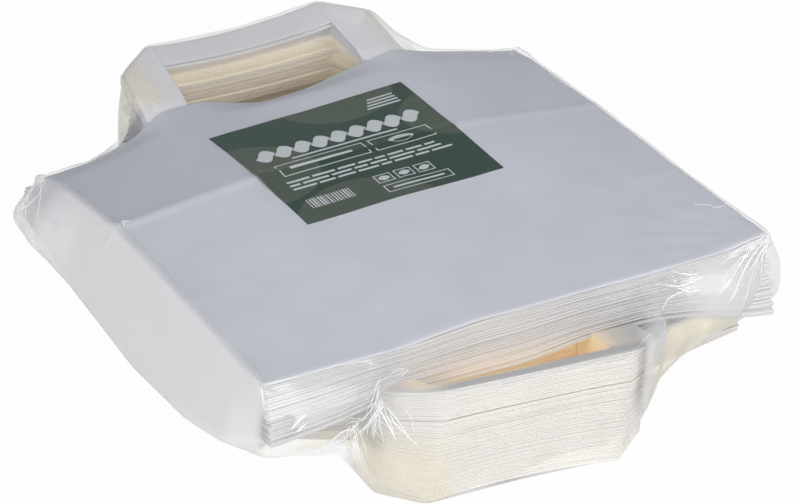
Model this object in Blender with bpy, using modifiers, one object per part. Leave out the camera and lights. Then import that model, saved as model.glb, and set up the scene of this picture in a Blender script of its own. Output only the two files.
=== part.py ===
"""Film-wrapped pack of flat-folded paper carrier bags.

Two groups of bags lie one on the other, the lower group turned end for end.
Each bag is a pressed paper body with a pair of flat paper handles.
The top bag is shown with its true pieces: an open-mouthed body, two folded
handles and the two patches that hold them.  A label card and a shrink film
close the pack.  Metres, +Z up, origin under the middle of the pack.
"""
import math

import bmesh
import bpy
from mathutils import Matrix, Vector

MM = 0.001

# Sizes of one flat bag
BAG_WIDTH = 260 * MM
BAG_LENGTH = 260 * MM
BASE_DEPTH = 170 * MM
HANDLE_WIDTH = 134 * MM
HANDLE_STRIP = 22 * MM
HANDLE_RISE = 62 * MM
HANDLE_CHAMFER = 20 * MM
HANDLE_GLUED = 45 * MM
PATCH_LENGTH = 38 * MM

# How the bags are stacked
BAGS_PER_GROUP = 25
STACK_FILL = 0.8
FOOT_GAP = 0.5 * MM
GROUP_GAP = 0.3 * MM
MID_HEIGHT = 27.5 * MM
MID_TILT = 1.5 * MM
MID_SLOPE = 2.5 * MM
MOUTH_DIP = 11 * MM
DROOP_SHARE = 0.8
DROOP_DISTANCE = 17 * MM
UPPER_SHEAR = 10 * MM
LOWER_TURN = math.radians(3)
LOWER_SHIFT = (-4 * MM, 10 * MM)
LOWER_LEFT_LIFT = 16 * MM
LOWER_RIGHT_LIFT = 20 * MM

# Height of the top bag's face in mm, from left to right, along its fold, two creases, patch line and mouth
FOLD_FACE = (51.5, 52.6, 53.7, 55.6, 59.8, 61.2, 61.9, 63.7, 69.0)
CREASE_FACE = (50.5, 53.1, 56.2, 57.6, 59.3, 60.5, 60.9, 60.9, 61.0)
RIDGE_FACE = (48.0, 52.0, 56.9, 58.3, 60.0, 61.2, 61.6, 58.0, 55.0)
PATCH_FACE = (35.5, 43.7, 53.4, 54.8, 56.5, 57.7, 58.1, 53.5, 46.8)
MOUTH_FACE = (30.0, 33.8, 53.3, 54.7, 56.4, 57.6, 58.0, 49.5, 43.2)

# How the handles fan out beyond the bags
UPPER_FAN_START = 16 * MM
LOWER_FAN_START = 26 * MM
UPPER_FAN_FOOT = (12 * MM, 8 * MM)
UPPER_TIP_HEIGHT = 57.4 * MM
UPPER_TIP_TILT = 2.6 * MM
LOWER_FAN_TOP = (47.5 * MM, 57.5 * MM)

# Layers of the top bag, the label and the film
PIECE_GAP = 0.2 * MM
PAPER = 0.15 * MM
GLUE_GAP = 0.05 * MM
HANDLE_LAYER = 0.16 * MM
HANDLE_BITE = 0.02 * MM
PATCH_THICKNESS = 0.08 * MM
LABEL_WIDTH = 107 * MM
LABEL_LENGTH = 104 * MM
LABEL_TURN = math.radians(3)
LABEL_CENTRE = (-2 * MM, 42 * MM)
LABEL_THICKNESS = 0.15 * MM
FILM_THICKNESS = 0.1 * MM
FILM_GAP = 0.4 * MM
FILM_SIDE_GAP = 1.0 * MM
FILM_CORNER_GAP = 3.0 * MM
FILM_SIDE_DROP = 2.0 * MM
FILM_LEFT_FLARE = 7 * MM
FILM_LEFT_LOBE = 14 * MM
FILM_LOBE_HEIGHT = 17 * MM
FILM_RIGHT_LOBE = 9 * MM
FILM_RIGHT_LOBE_HEIGHT = 41 * MM
FILM_WEB = 8 * MM
FILM_SLACK = 0.9 * MM
FILM_TIP_FOOT = 6 * MM
VENT_RADIUS = 3 * MM
VENT_DEPTH = 4 * MM
VENT_SIDES = 16

HALF_WIDTH = BAG_WIDTH / 2
HALF_LENGTH = BAG_LENGTH / 2
HANDLE_OUTER = HANDLE_WIDTH / 2
HANDLE_INNER = HANDLE_OUTER - HANDLE_STRIP
HANDLE_CUT = HANDLE_OUTER - HANDLE_CHAMFER
HANDLE_TIP = HALF_LENGTH + HANDLE_RISE
STRIP_START = HANDLE_TIP - HANDLE_STRIP
WING = (HANDLE_OUTER + HALF_WIDTH) / 2
RIDGE = BASE_DEPTH - HALF_LENGTH
SECOND_CREASE = BASE_DEPTH / 2 - HALF_LENGTH
DROOP_START = HALF_LENGTH - DROOP_DISTANCE
HANDLE_THICKNESS = 2 * HANDLE_LAYER - HANDLE_BITE
SLEEVE_CORE = 2 * (HANDLE_THICKNESS + PATCH_THICKNESS) + 5 * GLUE_GAP
SLEEVE_THICKNESS = 2 * PAPER + SLEEVE_CORE
COVER = PIECE_GAP + SLEEVE_THICKNESS
LABEL_BASE = COVER + PIECE_GAP / 2
FILM_COVER = LABEL_BASE + LABEL_THICKNESS + PIECE_GAP

BODY_COLUMNS = (-HALF_WIDTH, -WING, -HANDLE_OUTER, -HANDLE_INNER, 0.0,
                HANDLE_INNER, HANDLE_OUTER, WING, HALF_WIDTH)
BODY_ROWS = (-HALF_LENGTH, SECOND_CREASE, RIDGE, DROOP_START, HALF_LENGTH)
FACES = (FOLD_FACE, CREASE_FACE, RIDGE_FACE, PATCH_FACE, MOUTH_FACE)


def clear_scene():
    for obj in list(bpy.data.objects):
        bpy.data.objects.remove(obj, do_unlink=True)


def make_material(name, colour, roughness, alpha=1.0):
    material = bpy.data.materials.new(name)
    material.use_nodes = True
    shader = material.node_tree.nodes["Principled BSDF"]
    shader.inputs["Base Color"].default_value = (*colour, 1.0)
    shader.inputs["Roughness"].default_value = roughness
    shader.inputs["Metallic"].default_value = 0.0
    shader.inputs["Alpha"].default_value = alpha
    return material


def blend(value, points):
    """Straight-line interpolation through (place, height) points."""
    if value <= points[0][0]:
        return points[0][1]
    for (x0, z0), (x1, z1) in zip(points, points[1:]):
        if value <= x1:
            return z0 + (z1 - z0) * (value - x0) / (x1 - x0)
    return points[-1][1]


# Heights of the groups


def mid_height(x, y):
    """The plane where the two groups meet."""
    return MID_HEIGHT + MID_TILT * x / HALF_WIDTH - MID_SLOPE * y / HALF_LENGTH


def side_share(x):
    """0 over the handles, 1 at a side edge of the bag."""
    return min(max((abs(x) - HANDLE_OUTER) / (HALF_WIDTH - HANDLE_OUTER), 0.0), 1.0)


def mouth_share(y):
    """0 up to the ridge, 1 at the bag's mouth."""
    return blend(y, ((RIDGE, 0.0), (DROOP_START, DROOP_SHARE), (HALF_LENGTH, 1.0)))


def face_height(x, y):
    """The top bag's face, straight between its columns and between its rows."""
    rows = []
    for row, heights in zip(BODY_ROWS, FACES):
        rows.append((row, blend(x, tuple(zip(BODY_COLUMNS, heights))) * MM))
    return blend(y, rows)


def upper_top(x, y, dip=MOUTH_DIP):
    """Top of the upper group, below the top bag."""
    height = face_height(x, y) - COVER
    centre = max(1.0 - abs(x) / HANDLE_INNER, 0.0)
    height -= dip * centre * blend(y, ((DROOP_START, 0.0), (HALF_LENGTH, 1.0), (HALF_LENGTH + MM, 0.0)))
    fan = blend(y, ((HALF_LENGTH + UPPER_FAN_START, 0.0), (HANDLE_TIP, 1.0)))
    tip = UPPER_TIP_HEIGHT + UPPER_TIP_TILT * x / HANDLE_CUT
    return height + (tip - height) * fan


def upper_foot(x, y):
    """Underside of the upper group."""
    height = mid_height(x, y) + GROUP_GAP
    fan = ((HALF_LENGTH + UPPER_FAN_START, height), (STRIP_START, UPPER_FAN_FOOT[0]),
           (HANDLE_TIP, UPPER_FAN_FOOT[1]))
    return blend(y, fan)


def lower_world(x, y):
    """Place of a point of the lower group, which is turned end for end."""
    turn = math.pi - LOWER_TURN
    world_x = x * math.cos(turn) - y * math.sin(turn) + LOWER_SHIFT[0]
    world_y = x * math.sin(turn) + y * math.cos(turn) + LOWER_SHIFT[1]
    return world_x, world_y


def lower_top(x, y):
    """Top of the lower group, flat under the upper one."""
    height = mid_height(*lower_world(x, y))
    fan = ((HALF_LENGTH + LOWER_FAN_START, height), (STRIP_START, LOWER_FAN_TOP[0]),
           (HANDLE_TIP, LOWER_FAN_TOP[1]))
    return blend(y, fan)


def lower_foot(x, y):
    """Underside of the lower group, lifted at the corners of its mouth."""
    lift = LOWER_LEFT_LIFT if x > 0 else LOWER_RIGHT_LIFT
    return FOOT_GAP + lift * side_share(x) * mouth_share(y)


# Plans of the paper pieces, as lists of faces


def cell(x0, x1, y0, y1):
    """A rectangle whose first corner is the outer one of its first row."""
    if x0 >= 0:
        return ((x1, y0), (x1, y1), (x0, y1), (x0, y0))
    return ((x0, y0), (x1, y0), (x1, y1), (x0, y1))


def cells(columns, rows):
    faces = []
    for y0, y1 in zip(rows, rows[1:]):
        for x0, x1 in zip(columns, columns[1:]):
            faces.append(cell(x0, x1, y0, y1))
    return faces


def leg_plan(rows):
    faces = cells((-HANDLE_OUTER, -HANDLE_INNER), rows)
    faces += cells((HANDLE_INNER, HANDLE_OUTER), rows)
    return faces


def corner_plan():
    """The two handle corners, cut off at 45 degrees by their folds."""
    low = HANDLE_TIP - HANDLE_CHAMFER
    faces = []
    for side in (-1, 1):
        faces.append((
            (side * HANDLE_OUTER, STRIP_START), (side * HANDLE_OUTER, low),
            (side * HANDLE_CUT, HANDLE_TIP), (side * HANDLE_INNER, HANDLE_TIP),
            (side * HANDLE_INNER, STRIP_START)))
    return faces


def strip_plan():
    return cells((-HANDLE_INNER, HANDLE_INNER), (STRIP_START, HANDLE_TIP))


def bag_plan(fan_start):
    """A whole pressed bag: its body and the outline of its handles."""
    rows = (HALF_LENGTH, HALF_LENGTH + fan_start, STRIP_START)
    return cells(BODY_COLUMNS, BODY_ROWS) + leg_plan(rows) + corner_plan() + strip_plan()


def plan_mesh(faces):
    """A flat mesh of the plan, in triangles that face up."""
    mesh = bmesh.new()
    corners = {}
    for face in faces:
        ring = []
        for x, y in face:
            key = (round(x * 1e7), round(y * 1e7))
            if key not in corners:
                corners[key] = mesh.verts.new((x, y, 0.0))
            ring.append(corners[key])
        mesh.faces.new(ring)
    bmesh.ops.triangulate(mesh, faces=mesh.faces[:], quad_method="FIXED", ngon_method="EAR_CLIP")
    for face in mesh.faces:
        face.normal_update()
        if face.normal.z < 0:
            face.normal_flip()
    return mesh


def raise_plan(mesh, foot, top):
    """Extrude a flat plan into a sheet between two height functions."""
    lower = set(mesh.verts)
    grown = bmesh.ops.extrude_face_region(mesh, geom=mesh.faces[:], use_keep_orig=True)
    upper = {item for item in grown["geom"] if isinstance(item, bmesh.types.BMVert)}
    for vert in upper:
        vert.co.z = top(vert.co.x, vert.co.y)
    for vert in lower:
        vert.co.z = foot(vert.co.x, vert.co.y)
    bmesh.ops.recalc_face_normals(mesh, faces=mesh.faces[:])


def add_object(name, mesh, material, collection, parent):
    data = bpy.data.meshes.new(name)
    mesh.to_mesh(data)
    mesh.free()
    obj = bpy.data.objects.new(name, data)
    obj.data.materials.append(material)
    obj.parent = parent
    collection.objects.link(obj)
    return obj


def make_sheet(name, faces, foot, top, material, collection, parent):
    mesh = plan_mesh(faces)
    raise_plan(mesh, foot, top)
    return add_object(name, mesh, material, collection, parent)


def layer(foot, top, share_low, share_high):
    """Height functions of one layer between the foot and the top of a group."""
    def at(share):
        return lambda x, y: foot(x, y) + (top(x, y) - foot(x, y)) * share
    return at(share_low), at(share_high)


# The two groups of pressed bags


def lean_forward(obj, amount):
    """Push the folded end forward, as the upper group leans at its foot."""
    for vert in obj.data.vertices:
        share = (RIDGE - vert.co.y) / (RIDGE + HALF_LENGTH)
        vert.co.y -= amount * max(share, 0.0)


def make_upper_bags(material, collection, parent):
    count = BAGS_PER_GROUP - 1
    plan = bag_plan(UPPER_FAN_START)
    for index in range(count):
        low = index / count
        foot, top = layer(upper_foot, upper_top, low, low + STACK_FILL / count)
        name = f"bag_{BAGS_PER_GROUP - index:02d}"
        obj = make_sheet(name, plan, foot, top, material, collection, parent)
        lean_forward(obj, UPPER_SHEAR * (1 - low))


def make_lower_bags(material, collection, parent):
    plan = bag_plan(LOWER_FAN_START)
    for index in range(BAGS_PER_GROUP):
        low = index / BAGS_PER_GROUP
        foot, top = layer(lower_foot, lower_top, low, low + STACK_FILL / BAGS_PER_GROUP)
        name = f"bag_{2 * BAGS_PER_GROUP - index:02d}"
        obj = make_sheet(name, plan, foot, top, material, collection, parent)
        obj.location = (*LOWER_SHIFT, 0.0)
        obj.rotation_euler = (0.0, 0.0, math.pi - LOWER_TURN)


# The top bag and what lies on it


def over_stack(offset):
    """A height function that lies a fixed distance over the upper group."""
    return lambda x, y: upper_top(x, y) + offset


def make_sleeve(material, collection, cutters, parent):
    """The top bag's body, a flat sleeve closed at its fold and open at its mouth."""
    base = PIECE_GAP
    sleeve = make_sheet("bag_01_body", cells(BODY_COLUMNS, BODY_ROWS), over_stack(base),
                        over_stack(base + SLEEVE_THICKNESS), material, collection, parent)
    columns = list(BODY_COLUMNS)
    columns[0] += PAPER
    columns[-1] -= PAPER
    rows = [BODY_ROWS[0] + PAPER, *BODY_ROWS[1:], BODY_ROWS[-1] + PAPER]
    pocket = make_sheet("bag_01_pocket", cells(columns, rows), over_stack(base + PAPER),
                        over_stack(base + SLEEVE_THICKNESS - PAPER), material, cutters, parent)
    for vert in pocket.data.vertices:
        if vert.co.y > HALF_LENGTH + PAPER / 2:
            level = base + PAPER
            if vert.co.z > upper_top(vert.co.x, vert.co.y) + base + SLEEVE_THICKNESS / 2:
                level = base + SLEEVE_THICKNESS - PAPER
            vert.co.z = upper_top(vert.co.x, HALF_LENGTH) + level
    pocket.hide_render = True
    pocket.display_type = "WIRE"
    cut = sleeve.modifiers.new("open_mouth", "BOOLEAN")
    cut.operation = "DIFFERENCE"
    cut.object = pocket
    return sleeve


def make_top_handle(name, base, material, collection, cutters, parent):
    """A flat strip folded at 45 degrees at both corners, so they lie double."""
    rows = (HALF_LENGTH - HANDLE_GLUED, DROOP_START, HALF_LENGTH, HALF_LENGTH + UPPER_FAN_START, STRIP_START)
    legs = make_sheet(name, leg_plan(rows) + corner_plan(), over_stack(base),
                      over_stack(base + HANDLE_LAYER), material, collection, parent)
    strip_base = base + HANDLE_LAYER - HANDLE_BITE
    strip = make_sheet(name + "_strip", strip_plan() + corner_plan(), over_stack(strip_base),
                       over_stack(strip_base + HANDLE_LAYER), material, cutters, parent)
    strip.hide_render = True
    strip.display_type = "WIRE"
    join = legs.modifiers.new("folded_strip", "BOOLEAN")
    join.operation = "UNION"
    join.object = strip
    return legs


def make_patch(name, base, material, collection, parent):
    """The paper patch glued over the handle's legs inside the mouth."""
    rows = (HALF_LENGTH - PATCH_LENGTH - GLUE_GAP, DROOP_START, HALF_LENGTH - 2 * GLUE_GAP)
    columns = BODY_COLUMNS[2:-2]
    return make_sheet(name, cells(columns, rows), over_stack(base),
                      over_stack(base + PATCH_THICKNESS), material, collection, parent)


def make_top_bag(paper, strip_paper, collection, cutters, parent):
    make_sleeve(paper, collection, cutters, parent)
    back_handle = PIECE_GAP + PAPER + GLUE_GAP
    back_patch = back_handle + HANDLE_THICKNESS + GLUE_GAP
    front_patch = back_patch + PATCH_THICKNESS + GLUE_GAP
    front_handle = front_patch + PATCH_THICKNESS + GLUE_GAP
    make_top_handle("bag_01_back_handle", back_handle, strip_paper, collection, cutters, parent)
    make_patch("bag_01_back_patch", back_patch, paper, collection, parent)
    make_patch("bag_01_front_patch", front_patch, paper, collection, parent)
    make_top_handle("bag_01_front_handle", front_handle, strip_paper, collection, cutters, parent)


def make_label(material, collection, parent):
    """The card under the film, bent where it crosses the ridge and the face's columns."""
    mesh = bmesh.new()
    bmesh.ops.create_grid(mesh, x_segments=1, y_segments=1, size=0.5)
    bmesh.ops.scale(mesh, vec=(LABEL_WIDTH, LABEL_LENGTH, 1.0), verts=mesh.verts)
    bmesh.ops.rotate(mesh, matrix=Matrix.Rotation(LABEL_TURN, 3, "Z"), verts=mesh.verts)
    bmesh.ops.translate(mesh, vec=(*LABEL_CENTRE, 0.0), verts=mesh.verts)
    creases = [((x, 0.0, 0.0), (1.0, 0.0, 0.0)) for x in BODY_COLUMNS[3:-3]]
    creases.append(((0.0, RIDGE, 0.0), (0.0, 1.0, 0.0)))
    for place, across in creases:
        bmesh.ops.bisect_plane(mesh, geom=mesh.verts[:] + mesh.edges[:] + mesh.faces[:],
                               plane_co=place, plane_no=across)
    bmesh.ops.triangulate(mesh, faces=mesh.faces[:])
    raise_plan(mesh, over_stack(LABEL_BASE), over_stack(LABEL_BASE + LABEL_THICKNESS))
    return add_object("label_card", mesh, material, collection, parent)


# The shrink film, lofted through closed rings from the front to the rear

TOP_PANELS = range(len(BODY_COLUMNS) - 1)
FOOT_PANELS = range(len(BODY_COLUMNS) + 1, len(BODY_COLUMNS) + 4)


def film_top(x, y):
    """Height of the film over the upper group, taut across the mouth's dip."""
    inside_x = min(max(x, -HALF_WIDTH), HALF_WIDTH)
    inside_y = min(max(y, -HALF_LENGTH), HANDLE_TIP)
    return upper_top(inside_x, inside_y, dip=0.0) + FILM_COVER


def film_ring(tops, mids, feet):
    """A closed ring: the top from left to right, the right side, the feet back, the left side."""
    left_mid, right_mid = mids
    return (*tops, right_mid, *reversed(feet), left_mid)


def handle_ring(place, half, y, top_height, foot_height, drop):
    """A ring round a fan of handles; place turns group coordinates into world ones."""
    inner = half + FILM_GAP
    outer = inner + FILM_GAP
    turned = -1 if place(1.0, 0.0)[0] < 0 else 1

    def point(reach, height):
        return Vector((*place(turned * reach, y), height))

    def level(reach):
        return top_height(turned * reach)

    tops = []
    for reach, share in ((-outer - FILM_GAP, 2), (-outer, 1), (-inner, 0), (-half / 2, 0), (0.0, 0),
                         (half / 2, 0), (inner, 0), (outer, 1), (outer + FILM_GAP, 2)):
        tops.append(point(reach, level(reach) - share * drop))
    wide = outer + 2 * FILM_GAP
    mids = [point(side * wide, (level(side * inner) + foot_height) / 2) for side in (-1, 1)]
    feet = [point(-outer, foot_height), point(-outer / 3, foot_height),
            point(outer / 3, foot_height), point(outer, foot_height)]
    return film_ring(tops, mids, feet)


def body_ring(y, left_mid, right_mid, foot_y, outer_foot, inner_foot_y, flare=FILM_LEFT_FLARE):
    """A ring round both groups; its top follows the top bag's row at y.

    outer_foot gives the reach and the height of the feet at the sides, in the
    lower group's coordinates; the inner feet lie flat under its handles' width.
    The left foot stands out further by the flare.
    """
    edge = HALF_WIDTH + FILM_GAP
    tops = []
    for x in (-edge, *BODY_COLUMNS[1:-1], edge):
        tops.append(Vector((x, y, film_top(x, y))))
    reach, height = outer_foot
    feet = []
    for side_x, side_y, side_z in ((reach + flare, foot_y, height), (HANDLE_OUTER, inner_foot_y, FILM_THICKNESS),
                                   (-HANDLE_OUTER, inner_foot_y, FILM_THICKNESS), (-reach, foot_y, height)):
        feet.append(Vector((*lower_world(side_x, side_y), side_z)))
    return film_ring(tops, (left_mid, right_mid), feet)


def film_rings():
    inner_floor = FILM_THICKNESS
    rings = []

    def upper_place(x, y):
        return x, y

    def lower_level(rise):
        return lambda x: LOWER_FAN_TOP[1] + PIECE_GAP + FILM_GAP + rise

    tip = HANDLE_TIP + FILM_GAP
    rings.append(handle_ring(lower_world, HANDLE_CUT, tip, lower_level(0.0), inner_floor, FILM_GAP))
    rings.append(handle_ring(lower_world, HANDLE_OUTER, HANDLE_TIP - HANDLE_CHAMFER,
                             lower_level(0.0), inner_floor, FILM_SIDE_DROP))
    rings.append(handle_ring(lower_world, HANDLE_OUTER, HALF_LENGTH + LOWER_FAN_START,
                             lower_level(0.0), inner_floor, FILM_SIDE_DROP))

    def world(x, y, z):
        return Vector((x, y, z))

    def lower(x, y, z):
        return Vector((*lower_world(x, y), z))

    edge = HALF_WIDTH + FILM_SIDE_GAP
    end = HALF_LENGTH + FILM_SIDE_GAP
    lean = HALF_LENGTH + UPPER_SHEAR + FILM_SIDE_GAP
    web = HANDLE_OUTER + FILM_WEB
    root = end + FILM_CORNER_GAP
    corner_foot = LOWER_LEFT_LIFT - FILM_GAP
    left_front = mid_height(-HALF_WIDTH, -HALF_LENGTH)
    right_front = mid_height(HALF_WIDTH, -HALF_LENGTH)
    left_middle = mid_height(-HALF_WIDTH, 0.0)
    left_rear = mid_height(-HALF_WIDTH, HALF_LENGTH)
    right_middle = mid_height(HALF_WIDTH, 0.0)
    right_rear = mid_height(HALF_WIDTH, HALF_LENGTH)
    top_edge = HALF_LENGTH + FILM_GAP
    rings.append(body_ring(
        -top_edge,
        world(-edge - FILM_CORNER_GAP, -lean, left_front),
        world(edge + FILM_CORNER_GAP, -lean, right_front),
        root, (web, inner_floor), root, flare=0.0))
    rings.append(body_ring(
        SECOND_CREASE,
        lower(edge + FILM_LEFT_FLARE / 4, end, left_front), world(edge + FILM_RIGHT_LOBE, -end, FILM_RIGHT_LOBE_HEIGHT),
        end, (edge, corner_foot), end))
    rings.append(body_ring(
        RIDGE,
        lower(edge + FILM_LEFT_FLARE / 2, 0.0, left_middle), world(edge, 0.0, right_middle),
        RIDGE, (edge, inner_floor), RIDGE))
    rings.append(body_ring(
        DROOP_START,
        world(-edge - FILM_LEFT_LOBE, DROOP_START, FILM_LOBE_HEIGHT),
        world(edge + FILM_CORNER_GAP, end, right_rear),
        -DROOP_START, (edge, inner_floor), -DROOP_START))
    rings.append(body_ring(
        top_edge,
        lower(edge, -end, left_rear), lower(-edge, -end - FILM_SIDE_GAP, right_rear),
        -end, (edge, inner_floor), -end))

    def upper_level(y):
        return lambda x: film_top(x, y) + FILM_SLACK

    fan = HALF_LENGTH + UPPER_FAN_START
    low_corner = HANDLE_TIP - HANDLE_CHAMFER
    rings.append(handle_ring(upper_place, HANDLE_OUTER, fan, upper_level(fan), inner_floor, FILM_SIDE_DROP))
    rings.append(handle_ring(upper_place, HANDLE_OUTER, low_corner, upper_level(low_corner),
                             FILM_TIP_FOOT / 2, FILM_SIDE_DROP / 2))
    rings.append(handle_ring(upper_place, HANDLE_CUT, tip, upper_level(HANDLE_TIP), FILM_TIP_FOOT, FILM_GAP))
    return rings


def film_panel(ring, following, index):
    """Corners of one panel; taut film folds along the diagonal that lies further out."""
    after = (index + 1) % len(ring)
    corners = [ring[index], ring[after], following[after], following[index]]

    def reach(first, second):
        middle = (first.co + second.co) / 2
        if index in TOP_PANELS:
            return middle.z
        if index in FOOT_PANELS:
            return -middle.z
        return middle.xy.length

    if reach(corners[1], corners[3]) > reach(corners[0], corners[2]):
        corners = corners[1:] + corners[:1]
    return corners


def make_vent(collection, parent):
    """Cutter of the small round hole that lets the air out as the film shrinks."""
    bpy.ops.mesh.primitive_cylinder_add(vertices=VENT_SIDES, radius=VENT_RADIUS, depth=VENT_DEPTH)
    vent = bpy.context.object
    vent.name = "film_vent_cutter"
    vent.data.transform(Matrix.Rotation(math.pi / 2, 4, "X"))
    vent.location = (0.0, HANDLE_TIP + FILM_GAP, MID_HEIGHT)
    vent.parent = parent
    vent.hide_render = True
    vent.display_type = "WIRE"
    for home in list(vent.users_collection):
        home.objects.unlink(vent)
    collection.objects.link(vent)
    return vent


def make_film(material, collection, cutters, parent):
    mesh = bmesh.new()
    rings = []
    for ring in film_rings():
        rings.append([mesh.verts.new(point) for point in ring])
    for ring, following in zip(rings, rings[1:]):
        for index in range(len(ring)):
            mesh.faces.new(film_panel(ring, following, index))
    caps = [mesh.faces.new(rings[0]), mesh.faces.new(rings[-1])]
    bmesh.ops.poke(mesh, faces=caps)
    bmesh.ops.triangulate(mesh, faces=mesh.faces[:], quad_method="FIXED", ngon_method="EAR_CLIP")
    bmesh.ops.recalc_face_normals(mesh, faces=mesh.faces[:])
    film = add_object("film_wrap", mesh, material, collection, parent)
    wall = film.modifiers.new("film_wall", "SOLIDIFY")
    wall.thickness = FILM_THICKNESS
    wall.offset = 1.0
    hole = film.modifiers.new("vent_hole", "BOOLEAN")
    hole.operation = "DIFFERENCE"
    hole.object = make_vent(cutters, parent)
    return film


def centre_pack(film, anchor):
    """Move the pack so that the origin lies under the middle of its film."""
    xs = [vert.co.x for vert in film.data.vertices]
    ys = [vert.co.y for vert in film.data.vertices]
    anchor.location = (-(min(xs) + max(xs)) / 2, -(min(ys) + max(ys)) / 2, 0.0)


def main():
    clear_scene()
    collection = bpy.data.collections.new("carrier_bag_pack")
    cutters = bpy.data.collections.new("cutters")
    bpy.context.scene.collection.children.link(collection)
    bpy.context.scene.collection.children.link(cutters)
    anchor = bpy.data.objects.new("pack_origin", None)
    collection.objects.link(anchor)

    paper = make_material("white_kraft_paper", (0.62, 0.62, 0.66), 0.6)
    strip_paper = make_material("handle_paper", (0.68, 0.67, 0.66), 0.6)
    card = make_material("green_label", (0.04, 0.065, 0.05), 0.4)
    clear = make_material("shrink_film", (0.95, 0.95, 0.95), 0.1, alpha=0.3)

    make_lower_bags(paper, collection, anchor)
    make_upper_bags(paper, collection, anchor)
    make_top_bag(paper, strip_paper, collection, cutters, anchor)
    make_label(card, collection, anchor)
    film = make_film(clear, collection, cutters, anchor)
    centre_pack(film, anchor)


main()
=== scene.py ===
# %% [markdown]
# A film-wrapped pack of flat-folded paper carrier bags.
# On the real pack about fifty bags lie in two groups, the lower one turned end for end, and a clear
# shrink film with a printed card under it holds them. This lesson rebuilds what one sees: every bag
# as thin slabs with round folds, the handles as fans of paper strips, the card and the wrinkled film.
# The imported CAD model is the frame: each piece here stands for one of its nodes, apart from the
# label's print and the white folds on the film, which paint highlights and are trim.

# %% Load the frame
import math

import bmesh
import bpy
import numpy as np
from mathutils import Matrix, Vector


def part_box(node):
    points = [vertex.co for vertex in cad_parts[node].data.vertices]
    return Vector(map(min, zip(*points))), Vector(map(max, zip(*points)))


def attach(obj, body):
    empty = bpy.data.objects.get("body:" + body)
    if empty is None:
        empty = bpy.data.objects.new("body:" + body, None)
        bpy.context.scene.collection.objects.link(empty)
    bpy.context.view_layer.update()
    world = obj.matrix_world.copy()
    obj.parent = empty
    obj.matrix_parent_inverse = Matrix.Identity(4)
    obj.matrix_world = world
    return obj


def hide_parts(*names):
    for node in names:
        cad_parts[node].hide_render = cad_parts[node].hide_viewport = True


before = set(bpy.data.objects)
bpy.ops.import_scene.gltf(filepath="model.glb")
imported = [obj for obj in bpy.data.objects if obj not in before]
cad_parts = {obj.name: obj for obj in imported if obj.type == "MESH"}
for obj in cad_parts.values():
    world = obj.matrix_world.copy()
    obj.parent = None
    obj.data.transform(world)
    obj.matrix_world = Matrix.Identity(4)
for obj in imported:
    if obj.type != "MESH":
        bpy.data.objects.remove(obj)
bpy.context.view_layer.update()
MM = 0.001
body_low, body_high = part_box("bag_01_body")
PACK = np.array([(body_low.x + body_high.x) / 2, (body_low.y + body_high.y) / 2, 0.0])
print("nodes", len(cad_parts), "pack centre", PACK.round(5))

# %% [markdown]
# All shapes are written in pack millimetres: x and y run from the middle of the upper bags, z from
# the table. The camera looks at the front left corner from the photograph's angle with a long lens,
# so the pack's edges stay almost parallel.

# %% Camera at the photograph's angle
CAMERA_AZIMUTH = math.radians(-25.8)
CAMERA_HEIGHT = math.radians(29.35)
CAMERA_ROLL = math.radians(0.2)
CAMERA_DISTANCE = 2.56
CAMERA_TARGET = (0.0197, 0.0365, 0.0)
FOCAL_PIXELS = 5200
PHOTO_WIDTH = 800
SENSOR = 36


def make_camera():
    """A camera whose own z axis points back from the target along the photograph's view."""
    flat = math.cos(CAMERA_HEIGHT)
    back = Vector((math.sin(CAMERA_AZIMUTH) * flat, -math.cos(CAMERA_AZIMUTH) * flat,
                   math.sin(CAMERA_HEIGHT)))
    right = (-back).cross(Vector((0, 0, 1))).normalized()
    up = right.cross(-back)
    turned_right = math.cos(CAMERA_ROLL) * right + math.sin(CAMERA_ROLL) * up
    turned_up = math.cos(CAMERA_ROLL) * up - math.sin(CAMERA_ROLL) * right
    place = Matrix((turned_right, turned_up, back)).transposed().to_4x4()
    place.translation = Vector(CAMERA_TARGET) + Vector(PACK) + CAMERA_DISTANCE * back
    data = bpy.data.cameras.new("photo_camera")
    data.sensor_width = SENSOR
    data.lens = SENSOR * FOCAL_PIXELS / PHOTO_WIDTH
    data.clip_end = 30
    camera = bpy.data.objects.new("photo_camera", data)
    camera.matrix_world = place
    bpy.context.scene.collection.objects.link(camera)
    bpy.context.scene.camera = camera
    return camera


camera = make_camera()
print("lens", round(camera.data.lens, 1), "mm")

# %% [markdown]
# The top of the pack isn't flat. Its heights are known along five lines across the bags: the folded
# front edge, the two creases of the folded base, the line where the glued patches start, and the
# mouth. A surface could be lofted through them with curves. A height field is simpler here: straight
# lines between the named heights, then a blur, so that each crease is as soft as pressed paper.

# %% Height fields
FIELD_X = np.arange(-131.0, 132.0)
FIELD_Y = np.arange(-146.0, 133.0)
HALF = 130.0
RIDGE = 41.0
SECOND_CREASE = -45.0


def blur_matrix(places, softness):
    """Each row holds the weights exp(-distance squared / (2 softness squared)), scaled to add to 1."""
    gap = places[:, None] - places[None, :]
    weights = np.exp(-gap ** 2 / (2 * softness ** 2))
    return weights / weights.sum(1, keepdims=True)


def field(profiles, soft_x=4.0, soft_y=3.0):
    """Heights over FIELD_Y by FIELD_X: each profile is read along x, then blended in y, then blurred."""
    lines = [np.interp(FIELD_X, *zip(*points)) for _, points in profiles]
    rows = [y for y, _ in profiles]
    grid = np.array([np.interp(FIELD_Y, rows, column) for column in np.array(lines).T]).T
    return blur_matrix(FIELD_Y, soft_y) @ grid @ blur_matrix(FIELD_X, soft_x).T


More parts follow.
